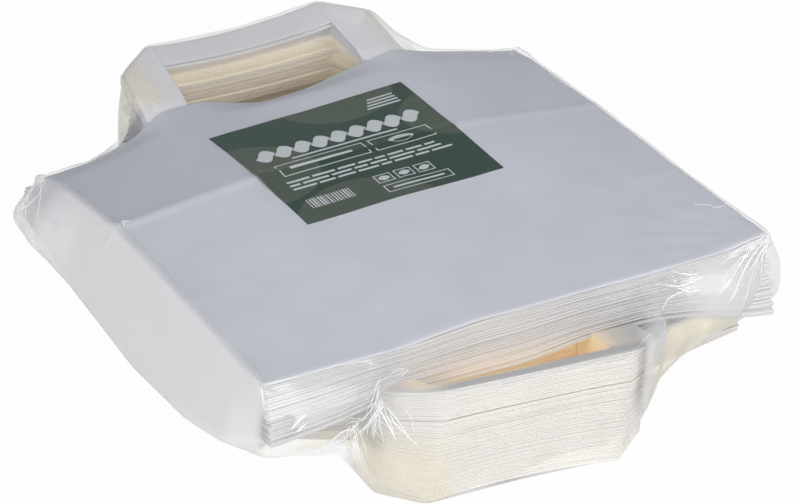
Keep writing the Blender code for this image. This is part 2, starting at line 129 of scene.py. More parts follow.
def read(grid, x, y):
    """The field's height at any points: the four nearest values weighted by nearness."""
    column = np.clip(x - FIELD_X[0], 0, len(FIELD_X) - 1.001)
    row = np.clip(y - FIELD_Y[0], 0, len(FIELD_Y) - 1.001)
    i, j = row.astype(int), column.astype(int)
    down, across = row - i, column - j
    near = grid[i, j] * (1 - across) + grid[i, j + 1] * across
    far = grid[i + 1, j] * (1 - across) + grid[i + 1, j + 1] * across
    return near * (1 - down) + far * down


def ease(share):
    """3 t squared - 2 t cubed, held at 0 and 1 outside."""
    t = np.clip(share, 0, 1)
    return t * t * (3 - 2 * t)


def ripple(x, y, wavelength, seed, waves=7):
    """Soft unevenness near -1 to 1: a few sine waves of seeded direction, length and phase, added."""
    random = np.random.default_rng(seed)
    total = 0 * x
    for _ in range(waves):
        angle, phase, stretch = random.uniform((0, 0, 0.7), (math.pi, 2 * math.pi, 1.4))
        along = x * math.cos(angle) + y * math.sin(angle)
        total = total + np.sin(along * 2 * math.pi / (wavelength * stretch) + phase)
    return total / math.sqrt(waves)


def hill(x, y, middle_x, middle_y, size_x, size_y):
    """exp(-(distance over size) squared), 1 in its middle."""
    return np.exp(-((x - middle_x) / size_x) ** 2 - ((y - middle_y) / size_y) ** 2)


FRONT_EDGE = ((-130, 51.5), (-60, 54), (-20, 59), (60, 61.5), (105, 64), (122, 66.5), (130, 69))
SECOND_LINE = ((-130, 50.5), (-60, 56.5), (0, 59.3), (130, 61))
RIDGE_LINE = ((-130, 47.5), (-60, 57.5), (60, 61), (130, 54.5))
PATCH_LINE = ((-130, 35.5), (-66, 53), (0, 56), (62, 60), (130, 46.8))
MOUTH_SIDES = ((-130, 30), (-104, 32.5), (-79, 42), (-69, 53))
MOUTH_DIP = ((-46, 53.5), (-15, 45), (10, 46.5), (45, 56))
MOUTH_TAUT = ((-46, 55), (45, 58))
MOUTH_RIGHT = ((62, 60), (76, 55), (130, 43.2))
TOP_LINES = ((-146, FRONT_EDGE), (-130, FRONT_EDGE), (SECOND_CREASE, SECOND_LINE), (RIDGE, RIDGE_LINE),
             (113, PATCH_LINE))
TOP = field((*TOP_LINES, (130, (*MOUTH_SIDES, *MOUTH_DIP, *MOUTH_RIGHT))))
TAUT = field((*TOP_LINES, (130, (*MOUTH_SIDES, *MOUTH_TAUT, *MOUTH_RIGHT))))
MEETING_FRONT = ((-130, 22.5), (-95, 28), (-70, 35.5), (0, 36), (30, 42), (66, 43), (90, 38.8),
                 (118, 29.4), (130, 28))
MEETING_REAR = ((-130, 17), (-70, 26), (70, 27), (130, 24))
MEETING = field(((-140, MEETING_FRONT), (-60, ((-130, 25), (130, 31))), (10, ((-130, 26), (130, 29))),
                 (131, MEETING_REAR)))


def paper_relief(x, y):
    """Folds and unevenness of the top sheet: two raised creases, soft waves and pulls to one corner."""
    left = ease((-x - 20) / 90)
    relief = (0.5 + 0.5 * left) * np.exp(-((y - RIDGE - 1.5 * np.sin(x / 60)) / 2.6) ** 2)
    relief = relief + 0.25 * np.exp(-((y - SECOND_CREASE) / 3.0) ** 2) * ease((abs(x + 20) - 60) / 60)
    relief = relief + 0.16 * ripple(x, y, 60, 3) + 0.05 * ripple(x, y, 17, 4)
    turn = np.arctan2(y + 135, 140 - x)
    reach = np.hypot(140 - x, y + 135)
    relief = relief + 0.35 * np.sin(turn * 26) * np.exp(-reach / 45) * ease(reach / 14)
    return relief


def top_height(x, y):
    """Upper face of the top bag."""
    return read(TOP, x, y) + paper_relief(x, y)


def meeting_height(x, y):
    """Where the two groups of bags meet."""
    return read(MEETING, x, y)


print("top from", TOP.min().round(1), "to", TOP.max().round(1), "mm")

# %% [markdown]
# A mesh here is an array of points and an array of faces. One helper joins two sheets along their
# shared outline into a closed slab, which is what a pressed bag, a strip of paper or a card is.
# Extruding flat faces would give hard rims; here the two sheets close in at the rim along a quarter
# circle, so that each fold is round and catches the light.

# %% Mesh helpers


def quads(numbers):
    """Four-sided faces between neighbours of a grid of point numbers."""
    near, far = numbers[:-1], numbers[1:]
    return np.stack([near[:, :-1], near[:, 1:], far[:, 1:], far[:, :-1]], -1).reshape(-1, 4)


def slab(x, y, low, high, mouth=False):
    """Closed slab between two sheets of heights over one plan; they share their outline at mean height.

    With mouth, the last row isn't shared, so the slab is a sleeve that is open there.
    """
    rows, columns = x.shape
    upper = np.arange(rows * columns).reshape(rows, columns)
    lower = upper.copy()
    last = rows if mouth else rows - 1
    inner = (slice(1, last), slice(1, -1))
    count = lower[inner].size
    lower[inner] = rows * columns + np.arange(count).reshape(lower[inner].shape)
    heights = high.copy()
    edge = upper == lower
    heights[edge] = (low[edge] + high[edge]) / 2
    top_points = np.stack([x, y, heights], -1).reshape(-1, 3)
    foot_points = np.stack([x[inner], y[inner], low[inner]], -1).reshape(-1, 3)
    return np.concatenate([top_points, foot_points]), np.concatenate([quads(upper), quads(lower)[:, ::-1]])


def thin_sheet(x, y, middle, thick):
    """Closed slab of even thickness about a surface, drawn together along its rim."""
    half = np.zeros(x.shape)
    half[1:-1, 1:-1] = thick / 2
    return slab(x, y, middle - half, middle + half)


def join(parts):
    """Several (points, faces) pairs as one."""
    points, faces, start = [], [], 0
    for part_points, part_faces in parts:
        points.append(part_points)
        faces.append(part_faces + start)
        start += len(part_points)
    return np.concatenate(points), np.concatenate(faces)


def bunched(low, high, count, radius):
    """Places from low to high with a quarter circle's spacing at both ends."""
    edge = radius * (1 - np.cos(np.linspace(0, math.pi / 2, 4)))
    inside = np.linspace(low + radius, high - radius, count)[1:-1]
    return np.concatenate([low + edge, inside, (high - edge)[::-1]])


def fold_round(places, radius):
    """0 at both ends, rising as a quarter circle to 1: sqrt(1 - (1 - d / r) squared)."""
    depth = np.minimum(places - places[0], places[-1] - places)
    return np.sqrt(1 - (1 - np.clip(depth / radius, 0, 1)) ** 2)


def make_piece(name, part, material, nodes, values=None, smooth=True):
    """Puts points in pack millimetres into a mesh that rides on the pack and stands for CAD nodes."""
    points, faces = part
    mesh = bpy.data.meshes.new(name)
    mesh.from_pydata((points * MM + PACK).tolist(), [], [list(face) for face in faces])
    for key, numbers in (values or {}).items():
        mesh.attributes.new(key, "FLOAT", "POINT").data.foreach_set("value", numbers.astype(np.float32))
    work = bmesh.new()
    work.from_mesh(mesh)
    bmesh.ops.recalc_face_normals(work, faces=work.faces)
    work.to_mesh(mesh)
    work.free()
    mesh.polygons.foreach_set("use_smooth", [smooth] * len(mesh.polygons))
    mesh.materials.append(material)
    piece = bpy.data.objects.new(name, mesh)
    bpy.context.scene.collection.objects.link(piece)
    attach(piece, "root")
    if nodes:
        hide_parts(*nodes)
    return piece


# %% [markdown]
# The paper is bleached kraft: cool white on its face, creamier inside and along raw edges, with a
# faint cloudy formation and short fibres. The warm attribute of each piece, worked out from where its
# points lie, blends the two tints. Deep in the handle holes and over the slit, that cream is partly
# painted warm light. The upper bags' face is darker and bluer than the other papers, which is partly
# painted shade of the top. The noise is read in object coordinates, so it stays on the paper.

# %% Materials
# Painted shade: the blue grey that the paper turns to where shade is painted on it
PAINTED_SHADE_TINT = (0.48, 0.49, 0.55)
# Painted glow: a warm emission on paper, standing in for light that seeps through the sheets
PAINTED_GLOW_COLOUR = (1.0, 0.75, 0.46)
PAINTED_GLOW_POWER = 0.32
CLOUD_SCALE = 38.0
FIBRE_SCALE = 500.0
FIBRE_STRENGTH = 0.06
FIBRE_HEIGHT = 0.0002


def principled(name, colour, roughness):
    """An opaque material with hardly any gloss, its node tree and its shader."""
    material = bpy.data.materials.new(name)
    material.use_nodes = True
    shader = material.node_tree.nodes["Principled BSDF"]
    shader.inputs["Base Color"].default_value = (*colour, 1)
    shader.inputs["Roughness"].default_value = roughness
    shader.inputs["Specular IOR Level"].default_value = 0.12
    return material, material.node_tree, shader


def add_node(tree, kind, **settings):
    """A new node of a kind, with its settings."""
    node = tree.nodes.new(kind)
    for key, value in settings.items():
        setattr(node, key, value)
    return node


def feed(tree, socket, value):
    """Gives a socket a number, a colour or another node's output."""
    if isinstance(value, float):
        socket.default_value = value
    elif isinstance(value, tuple):
        socket.default_value = (*value, 1)
    else:
        tree.links.new(value, socket)


def noise(tree, scale, detail=2.0):
    """Noise texture on object coordinates."""
    place = add_node(tree, "ShaderNodeTexCoord")
    texture = add_node(tree, "ShaderNodeTexNoise")
    texture.inputs["Scale"].default_value = scale
    texture.inputs["Detail"].default_value = detail
    tree.links.new(place.outputs["Object"], texture.inputs["Vector"])
    return texture.outputs["Fac"]


def mix_colour(tree, share, first, second):
    """Colour that goes from first to second as share goes from 0 to 1."""
    mixer = add_node(tree, "ShaderNodeMix", data_type="RGBA")
    for place, value in ((0, share), (6, first), (7, second)):
        feed(tree, mixer.inputs[place], value)
    return mixer.outputs[2]


def mix_shader(tree, share, first, second):
    """Shader that goes from first to second as share goes from 0 to 1."""
    mixer = add_node(tree, "ShaderNodeMixShader")
    for socket, value in zip(mixer.inputs, (share, first, second)):
        feed(tree, socket, value)
    return mixer.outputs[0]


def add_bump(tree, shader, height, strength, distance):
    """Tilts the shader's normals by a height value; its full step is a distance in metres."""
    bump = add_node(tree, "ShaderNodeBump")
    bump.inputs["Strength"].default_value = strength
    bump.inputs["Distance"].default_value = distance
    tree.links.new(height, bump.inputs["Height"])
    tree.links.new(bump.outputs["Normal"], shader.inputs["Normal"])


def stretch(tree, value, low, high):
    """Maps a middling noise value onto the range 0 to 1."""
    mapper = add_node(tree, "ShaderNodeMapRange")
    mapper.inputs["From Min"].default_value = low
    mapper.inputs["From Max"].default_value = high
    tree.links.new(value, mapper.inputs["Value"])
    return mapper.outputs["Result"]


def attribute(tree, name):
    """A value that the piece holds for each of its points."""
    return add_node(tree, "ShaderNodeAttribute", attribute_name=name).outputs["Fac"]


def calculate(tree, operation, *values, clamp=False):
    """Result of one step of arithmetic on numbers and values."""
    step = add_node(tree, "ShaderNodeMath", operation=operation, use_clamp=clamp)
    for socket, value in zip(step.inputs, values):
        feed(tree, socket, value)
    return step.outputs[0]


def scaled(tree, value, factor):
    """A value times a factor, which is a number or another value."""
    return calculate(tree, "MULTIPLY", value, factor)


def added(tree, first, second):
    """Sum of two values, kept between 0 and 1."""
    return calculate(tree, "ADD", first, second, clamp=True)


def thin_lines(tree, scale):
    """Winding thin lines: 1 where a noise crosses its middle value, falling to 0 beside it."""
    centred = calculate(tree, "SUBTRACT", noise(tree, scale, 1.0), 0.5)
    return stretch(tree, calculate(tree, "ABSOLUTE", centred), 0.09, 0.0)


def paper_material(name, face, shade, warm):
    """Paper: clouds from face to shade, blended to the warm tint by the warm attribute.

    An attribute blends in painted shade, the blue grey tint of paper in shade. Where the glow
    attribute is set, a warm emission paints the glow of light that seeps through the sheets.
    """
    material, tree, shader = principled(name, face, 0.62)
    clouds = stretch(tree, noise(tree, CLOUD_SCALE, 4.0), 0.35, 0.7)
    cool = mix_colour(tree, clouds, face, shade)
    tinted = mix_colour(tree, attribute(tree, "warm"), cool, warm)
    # Painted shade blended into the base colour
    feed(tree, shader.inputs["Base Color"], mix_colour(tree, attribute(tree, "painted_shade"), tinted, PAINTED_SHADE_TINT))
    # Painted glow: emission scaled by the glow attribute
    feed(tree, shader.inputs["Emission Color"], PAINTED_GLOW_COLOUR)
    feed(tree, shader.inputs["Emission Strength"], scaled(tree, attribute(tree, "glow"), PAINTED_GLOW_POWER))
    add_bump(tree, shader, noise(tree, FIBRE_SCALE, 3.0), FIBRE_STRENGTH, FIBRE_HEIGHT)
    return material


# The upper bags' face is darker and bluer than the other papers: partly the paper's cool tint, partly
# painted shade of the top
bag_paper = paper_material("bag_paper", (0.71, 0.725, 0.785), (0.67, 0.685, 0.745), (0.92, 0.83, 0.65))
handle_paper = paper_material("handle_paper", (0.84, 0.84, 0.85), (0.80, 0.80, 0.82), (0.90, 0.66, 0.36))
# The lower paper's orange warm tint is painted warm light where the slit glows, over a faint real cream
# elsewhere
lower_paper = paper_material("lower_paper", (0.84, 0.835, 0.83), (0.80, 0.795, 0.79), (0.93, 0.74, 0.45))
print("materials", [m.name for m in bpy.data.materials])

# %% [markdown]
# A pressed bag is body and two handles. The body is a slab over the bag's plan. A handle is a strip
# of paper tape that goes up, folds over at 45 degrees, crosses and comes down again. Both are rows
# of stations on a grid, and a seeded shift, wave and sag for each bag keeps the stack from looking
# like a machined block.

# %% Plans of a body and a handle
HANDLE_OUTER = 67.0
HANDLE_INNER = 45.0
HANDLE_CUT = 47.0
TIP = 192.0
TIP_CUT = 20.0
STRIP_START = 170.0
HOLE_CUT = 1.5
STRIP_PLACES = (0.27, 0.73)
FOLD_RADIUS = 0.55
BODY_COLUMNS = bunched(-HALF, HALF, 38, FOLD_RADIUS)
BODY_ROWS = bunched(-HALF, HALF, 32, FOLD_RADIUS)
BODY_X, BODY_Y = np.meshgrid(BODY_COLUMNS, BODY_ROWS)
BODY_ROUND = np.outer(fold_round(BODY_ROWS, FOLD_RADIUS), fold_round(BODY_COLUMNS, FOLD_RADIUS))
ACROSS = np.array([0, 0.003, 0.012, 0.3, 0.7, 0.988, 0.997, 1.0])
ACROSS_ROUND = np.array([0, 0.6, 1, 1, 1, 1, 0.6, 0])


def handle_plan(start):
    """Strip of tape seen from above: stations follow the inner and the outer outline together."""
    outer = np.array([(-HANDLE_OUTER, start), (-HANDLE_OUTER, TIP - TIP_CUT), (-HANDLE_CUT, TIP),
                      (HANDLE_CUT, TIP), (HANDLE_OUTER, TIP - TIP_CUT), (HANDLE_OUTER, start)])
    inner = np.array([(-HANDLE_INNER, start), (-HANDLE_INNER, STRIP_START - HOLE_CUT),
                      (-HANDLE_INNER + HOLE_CUT, STRIP_START), (HANDLE_INNER - HOLE_CUT, STRIP_START),
                      (HANDLE_INNER, STRIP_START - HOLE_CUT), (HANDLE_INNER, start)])
    counts = (8, 4, 30, 4, 8)
    stretches = [np.linspace(corner, corner + 1, n, endpoint=False) for corner, n in enumerate(counts)]
    stations = np.concatenate([*stretches, [len(counts)]])
    plan = []
    for axis in (0, 1):
        near, far = [np.interp(stations, np.arange(6), line[:, axis]) for line in (inner, outer)]
        plan.append(near[:, None] + (far - near)[:, None] * ACROSS)
    return *plan, np.tile(ACROSS_ROUND, (len(stations), 1))


def lean_left(x, y):
    """The upper handles' left legs lean out to the left, 7 mm at their root and nothing at the tip."""
    return x - 7 * ease((20 - x) / 65) * ((TIP - y) / 63).clip(0, 1)


HANDLE_X, HANDLE_Y, HANDLE_ROUND = handle_plan(HALF + 0.2)
print("body grid", BODY_X.shape, "handle grid", HANDLE_X.shape)

# %% [markdown]
# The film pulled the left sides of the bags out towards the table, so that side of the pack is one
# smooth slope. The slope is known at two levels along the pack, half way up and at the foot. Every bag
# is pushed out to it near its left edge, more and more from its middle on.

# %% Slope of the left side
SIDE_Y = (-140, -129, -112, -80, 0, 75, 110, 140)
SIDE_MIDDLE = (-130, -131, -138.5, -138.5, -137, -137, -138, -134)
SIDE_FOOT = (-130, -132, -140, -142, -141.5, -138.5, -138, -135)
MIDDLE_LEVEL = 24.0
EDGE_DROP = 2.0
SPLAY_START = 50.0
SPLAY_SPAN = 82.0


def left_slope(y, z):
    """x of the pack's left side: from the foot over the middle to the top bag's edge."""
    foot = np.interp(y, SIDE_Y, SIDE_FOOT)
    middle = np.interp(y, SIDE_Y, SIDE_MIDDLE)
    low = foot + (middle - foot) * (z / MIDDLE_LEVEL).clip(0, 1)
    span = read(TOP, -HALF + 0 * y, y) - (MIDDLE_LEVEL + EDGE_DROP)
    return low + (-HALF - low) * ((z - MIDDLE_LEVEL) / span).clip(0, 1)


def splay(points, edge):
    """Push points near the left edge, which lies at x = edge, out to the slope."""
    x, y, z = points.T
    pushed = x + (left_slope(y, z) - edge) * ease((-x - SPLAY_START) / SPLAY_SPAN)
    return np.stack([pushed, y, z], -1)


print("left side from", min(SIDE_FOOT), "at the foot to", -HALF, "at the top")

# %% [markdown]
# The upper group: twenty-four pressed bags under the top one. Each takes its share of the height
# between the surface where the groups meet and the underside of the top bag. The folded ends lean
# forward towards the foot of the group, as in the photograph, and the handles fan out behind.

# %% Upper group
GROUP = 25
TOP_BAG = 1.5
LEAN = 10.0
UPPER_TIP = 59.15
UPPER_TIP_TILT = 2.55
UPPER_TIP_SAG = 3.5
UPPER_FOOT = (12.0, 8.0)


def handle_top(x, y):
    """Upper face of the top handle: from the taut mouth line to the tip, which sags in its middle."""
    root = read(TAUT, x, 0 * y + HALF)
    sag = UPPER_TIP_SAG * (1 - (x / HANDLE_CUT) ** 2).clip(0, 1)
    tip = UPPER_TIP + UPPER_TIP_TILT * x / HANDLE_CUT - sag
    return root + (tip - root) * ease((y - HALF) / (TIP - HALF))


def upper_level(x, y, share):
    """Height of a share of the upper group, from 0 at its foot to 1 under the top bag."""
    foot = meeting_height(x, y) + 0.3
    return foot + (read(TOP, x, y) - TOP_BAG - foot) * share


def upper_fan(x, y, share):
    """The same for its handles, whose foot drops behind the bags."""
    near = meeting_height(x, 0 * y + HALF) + 0.3
    foot = np.interp(y, (146.0, STRIP_START, TIP), (0.0, 1.0, 1.0))
    low = np.interp(y, (STRIP_START, TIP), UPPER_FOOT)
    foot = near + (low - near) * foot
    return foot + (handle_top(x, y) - TOP_BAG - foot) * share


def band(fan, plan_x, share, thick, random, shift):
    """One handle of a pressed bag: a slab of a share of the fan's height, a little out of place."""
    slip_x, slip_y = random.normal(0, (0.12, 0.12)) + shift
    middle = share + 0.08 * thick * ripple(HANDLE_X, HANDLE_Y, 70, int(random.integers(1e6)))
    low = fan(plan_x, HANDLE_Y, middle - thick / 2 * HANDLE_ROUND)
    high = fan(plan_x, HANDLE_Y, middle + thick / 2 * HANDLE_ROUND)
    loose = ease((HANDLE_Y - HALF) / 30)
    return slab(plan_x + slip_x * loose, HANDLE_Y + slip_y * loose, low, high)


def pressed_body(level, index, count, random, fill):
    """Plan and heights of one bag's body: a slab of its share with a wavy fold."""
    wave = 0.06 * ripple(BODY_X, BODY_Y, 110, 40 + index)
    middle = index + 0.5 + wave
    low = level(BODY_X, BODY_Y, (middle - fill / 2 * BODY_ROUND) / count)
    high = level(BODY_X, BODY_Y, (middle + fill / 2 * BODY_ROUND) / count)
    slip_x, slip_y = random.normal(0, (0.35, 0.45))
    front = ease((-BODY_Y - 60) / 70)
    x = BODY_X + slip_x + random.normal(0, 0.5) * front
    y = BODY_Y + slip_y + front * 0.3 * ripple(BODY_X, 0 * BODY_Y, 80, 90 + index)
    return x, y, low, high


def cream_and_painted_warmth(points):
    """Warmth: cool on faces, cream along front folds, in the handle holes deepening as painted warm light.
    """
    x, y, z = points.T
    inside = ease((HANDLE_OUTER - 4 - abs(x)) / 18) * ease((y - HALF) / 8)
    inside = inside * ease((STRIP_START + 10 - y) / 10)
    front = ease((-y - 122) / 8)
    # In the holes the warmth grows downwards: painted warm light between the sheets
    return np.clip(0.25 * front + 0.85 * inside * ease((58 - z) / 10), 0, 1)


def painted_upper_glow(points):
    """Painted glow: light through the lowest front folds over the lower handles, and in the handles' hole.
    """
    x, y, z = points.T
    over_slit = ease((62 - abs(x + 6)) / 40) * ease((-y - 118) / 14) * ease((49 - z) / 12)
    hole = ease((HANDLE_OUTER - abs(x)) / 22) * ease((y - 140) / 20) * ease((58 - z) / 6)
    return np.clip(0.5 * over_slit + 0.12 * hole, 0, 1)


def bundle_shift(index, size, seed):
    """Handles slipped in bundles of a few bags: a seeded x and y shift shared by the whole bundle."""
    random = np.random.default_rng(seed + index // size)
    return random.normal(0, (1.7, 1.4))


def make_upper_bag(index):
    """One pressed bag counted from the foot of its group: body and two strips of handles."""
    random = np.random.default_rng(100 + index)
    count = GROUP - 1
    shift = bundle_shift(index, 3, 500)
    fill = 0.84 + 0.13 * ease((abs(BODY_X) - 122) / 6)
    x, y, low, high = pressed_body(upper_level, index, count, random, fill)
    lean = np.clip((RIDGE - BODY_Y) / (RIDGE + HALF), 0, 1)
    y = y - LEAN * (1 - (index + 0.5) / count) * lean
    parts = [slab(x, y, low, high)]
    for place in STRIP_PLACES:
        share = (index + place + random.normal(0, 0.02)) / count
        thick = (random.uniform(0.42, 0.47) - 0.10 * (index % 3 == 0)) / count
        parts.append(band(upper_fan, lean_left(HANDLE_X, HANDLE_Y), share, thick, random, shift))
    points, faces = join(parts)
    points = splay(points, -HALF)
    name = f"bag_{GROUP - index:02d}"
    x, y, _ = points.T
    # Painted shade: a few bags darker inside the handle hole, for the shade between the strips
    in_hole = ease((HANDLE_OUTER - 8 - abs(x)) / 10) * ease((y - 150) / 20)
    painted_shade = 0.4 * random.uniform(0, 1) ** 3 * in_hole
    return make_piece(name, (points, faces), bag_paper, [name],
                      {"warm": cream_and_painted_warmth(points), "glow": painted_upper_glow(points), "painted_shade": painted_shade})


upper_bags = [make_upper_bag(index) for index in range(GROUP - 1)]
print("upper group", len(upper_bags), "bags of", len(upper_bags[0].data.polygons), "faces")

# %% [markdown]
# The lower group is turned end for end and three degrees aside, so its handles come out in front.
# They fan upwards and push the front of the upper bags up with them. Its lowest bags slid a little
# to the left under the pull of the film.

# %% Lower group
LOWER_TURN = math.radians(3)
LOWER_SHIFT = (-4.0, 10.0)
LOWER_STRIP_TOP = 47.5
LOWER_TIP_TOP = 57.7
HANDLE_SLIDE = 8.0
CORNER_LIFT = 16.0


def lower_world(x, y):
    """Turns and shifts the lower group's own plan into the pack's."""
    turn = math.pi - LOWER_TURN
    return (x * math.cos(turn) - y * math.sin(turn) + LOWER_SHIFT[0],
            x * math.sin(turn) + y * math.cos(turn) + LOWER_SHIFT[1])


def lower_foot(x, y):
    """Underside of the lower group: flat, lifted at the corners of its mouth."""
    side = ((abs(x) - HANDLE_OUTER) / (HALF - HANDLE_OUTER)).clip(0, 1)
    return 0.5 + CORNER_LIFT * side * np.interp(y, (40, 113, HALF), (0, 0.8, 1))


def lower_level(x, y, share):
    """Height of a share of the lower group, from 0 at its foot to 1 where the groups meet."""
    foot = lower_foot(x, y)
    return foot + (meeting_height(*lower_world(x, y)) - foot) * share


def lower_fan(x, y, share):
    """The same for its handles, whose top rises to the tip and whose foot arches a little."""
    root = meeting_height(*lower_world(x, 0 * y + HALF))
    rise = np.interp(y, (HALF, STRIP_START, TIP), (0, 1, 2))
    top = root + (LOWER_STRIP_TOP - root) * rise.clip(0, 1)
    top = top + (LOWER_TIP_TOP - LOWER_STRIP_TOP) * (rise - 1).clip(0, 1)
    foot = 0.5 + 3.0 * (1 - (x / HANDLE_CUT) ** 2).clip(0, 1) * ease((y - 150) / 40)
    return foot + (top - foot) * share


def painted_slit_glow(points):
    """Painted orange glow in the handles' hole, between the strips and the bags, not on the strips'
    fronts.
    """
    x, y, z = points.T
    own_y = (10 - y) + (x + 4) * math.tan(LOWER_TURN)
    hole = ease((58 - abs(x + 14)) / 10) * ease((STRIP_START + 3 - own_y) / 4) * ease((own_y - 118) / 8)
    return hole * ease((z - 6) / 18) * (0.76 - 0.16 * ease((x + 15) / 45))


def make_lower_bag(index):
    """The same in the lower group, turned into its place and then pushed out to the slope."""
    random = np.random.default_rng(200 + index)
    fill = 0.86 + 0.11 * ease((abs(BODY_X) - 122) / 6)
    x, y, low, high = pressed_body(lower_level, index, GROUP, random, fill)
    down = 1 - (index + 0.5) / GROUP
    parts = [slab(x, y, low, high)]
    shift = 0.25 * bundle_shift(index, 2, 700) + (HANDLE_SLIDE * down, 0)
    for place in STRIP_PLACES:
        share = (index + place + random.normal(0, 0.01)) / GROUP
        thick = random.uniform(0.44, 0.46) / GROUP
        parts.append(band(lower_fan, HANDLE_X, share, thick, random, shift))
    points, faces = join(parts)
    points[:, 0], points[:, 1] = lower_world(points[:, 0], points[:, 1])
    points = splay(points, np.interp(points[:, 1], (-113, 146), (-140.6, -127)))
    name = f"bag_{2 * GROUP - index:02d}"
    # Painted glow in the slit; the warm tint follows it as painted orange light over a faint cream
    glow = painted_slit_glow(points)
    warm = np.clip(0.12 + glow, 0, 1)
    # Painted shade on the lower group's top bag, which lies under the upper group
    painted_shade = 0 * warm + 0.3 * (index == GROUP - 1)
    return make_piece(name, (points, faces), lower_paper, [name],
                      {"warm": warm, "glow": glow, "painted_shade": painted_shade})


lower_bags = [make_lower_bag(index) for index in range(GROUP)]
print("lower group", len(lower_bags), "bags")

# %% [markdown]
# The top bag shows best, so it is taken apart into its real pieces. The body is a flat sleeve, closed
# at its folded end and open at its mouth; Solidify gives its wall. Each handle is two legs over a
# cross strip that meet at 45 degree folds, and a glued patch holds the legs inside the mouth.

# %% Top bag
PAPER = 0.15
SLEEVE = 1.35
TAPE = 0.16
GLUED = 45.0
PATCH = 38.0
PATCH_THICK = 0.08


def make_sleeve():
    """The body: its sheets meet at the folded end and the sides and stay apart at the mouth."""
    rows = bunched(-HALF, HALF, 90, FOLD_RADIUS)[:-2]
    rows = np.append(rows, HALF)
    columns = bunched(-HALF, HALF, 100, FOLD_RADIUS)
    x, y = np.meshgrid(columns, rows)
    opened = fold_round(np.append(rows, 2 * HALF), FOLD_RADIUS)[:-1]
    height = np.outer(opened, fold_round(columns, FOLD_RADIUS))
    high = top_height(x, y) - SLEEVE / 2 * (1 - height)
    low = top_height(x, y) - SLEEVE / 2 * (1 + height)
    part = slab(x, y, low, high, mouth=True)
    x, y, _ = part[0].T
    # Painted shade beyond the ridge, stronger to the left, where the top turns away from the light
    painted_shade = ease((y - RIDGE + 2) / 8) * (0.17 + 0.3 * ease((10 - x) / 80))
    values = {"warm": 0 * x, "painted_shade": painted_shade}
    sleeve = make_piece("top_bag_body", part, bag_paper, ["bag_01_body"], values)
    wall = sleeve.modifiers.new("paper_wall", "SOLIDIFY")
    wall.thickness = PAPER * MM
    wall.offset = -1
    return sleeve


def tape_end(x):
    """Where the tape ends in y: at the tip, or at the 45 degree fold."""
    return np.minimum(TIP, TIP - TIP_CUT + HANDLE_OUTER - abs(x))


def top_handle_height(x, y):
    """Inside the sleeve the handle follows the bag, outside it the fan."""
    step = top_height(x, 0 * y + HALF) - read(TAUT, x, 0 * y + HALF)
    outside = handle_top(x, np.maximum(y, HALF)) + step * (1 - ease((y - HALF) / 10))
    return np.where(y < HALF, top_height(x, np.minimum(y, HALF)), outside)


def tape(x, y, depth, lift=0.0):
    """A tape slab whose top lies a depth under the top bag's face."""
    x = lean_left(x, y)
    middle = top_handle_height(x, y) - depth - TAPE / 2 + lift
    return thin_sheet(x, y, middle, TAPE)


def make_top_handle(name, depth, slip):
    """Two legs over one cross strip; the legs' inner edges show across the strip."""
    parts = []
    for side in (-1, 1):
        columns = side * np.array([HANDLE_OUTER, 66.6, 62, 57, 52, HANDLE_CUT, 45.4, HANDLE_INNER])
        shares = np.concatenate([[0, 0.004], np.linspace(0.04, 0.96, 24), [0.996, 1]])
        start = HALF - GLUED
        x = np.tile(columns, (len(shares), 1))
        y = start + (tape_end(x) - start) * shares[:, None]
        parts.append(tape(x, y, depth))
    columns = np.concatenate([[-HANDLE_OUTER, -66], np.linspace(-62, 62, 50), [66, HANDLE_OUTER]])
    shares = np.array([0, 0.02, 0.2, 0.4, 0.6, 0.8, 0.98, 1])
    x = np.tile(columns, (len(shares), 1))
    y = STRIP_START + (tape_end(x) - STRIP_START) * shares[:, None]
    wave = 0.25 * np.sin(x / 9 + y / 7) * ease((62 - abs(x)) / 15)
    parts.append(tape(x, y, depth + TAPE + 0.03, 0.12 * wave))
    points, faces = join(parts)
    loose = ease((points[:, 1] - HALF) / 30)
    points[:, 0] += slip[0] * loose
    points[:, 1] += slip[1] * loose
    points[:, 2] -= slip[2] * loose
    return make_piece("top_" + name, (points, faces), handle_paper, ["bag_01_" + name],
                      {"warm": 0 * points[:, 0]})


def make_patch(name, depth):
    """A glued patch inside the mouth, a depth under the top bag's face."""
    rows = np.concatenate([[HALF - PATCH, HALF - PATCH + 0.2], np.linspace(HALF - PATCH + 2, HALF - 1, 14),
                           [HALF - 0.4, HALF - 0.2]])
    columns = np.concatenate([[-66, -65.8], np.linspace(-64, 64, 40), [65.8, 66]])
    x, y = np.meshgrid(columns, rows)
    part = thin_sheet(x, y, top_height(x, y) - depth, PATCH_THICK)
    return make_piece("top_" + name, part, handle_paper, ["bag_01_" + name],
                      {"warm": np.zeros(len(part[0]))})


top_body = make_sleeve()
front_handle = make_top_handle("front_handle", 0.2, (0.0, 0.0, 0.0))
front_patch = make_patch("front_patch", 0.62)
back_patch = make_patch("back_patch", 0.74)
back_handle = make_top_handle("back_handle", 0.82, (0.4, -1.6, 0.5))
print("top bag", [piece.name for piece in (top_body, front_handle, front_patch, back_patch, back_handle)])

# %% [markdown]
# The label is a printed card, dark green with olive fields. The fields are circles worked out in the
# card's own map, so they need no picture. The pale print is a generic layout of bars, leaves and
# frames with no words: thin slabs laid on the card with a smaller step than a sheet of paper.

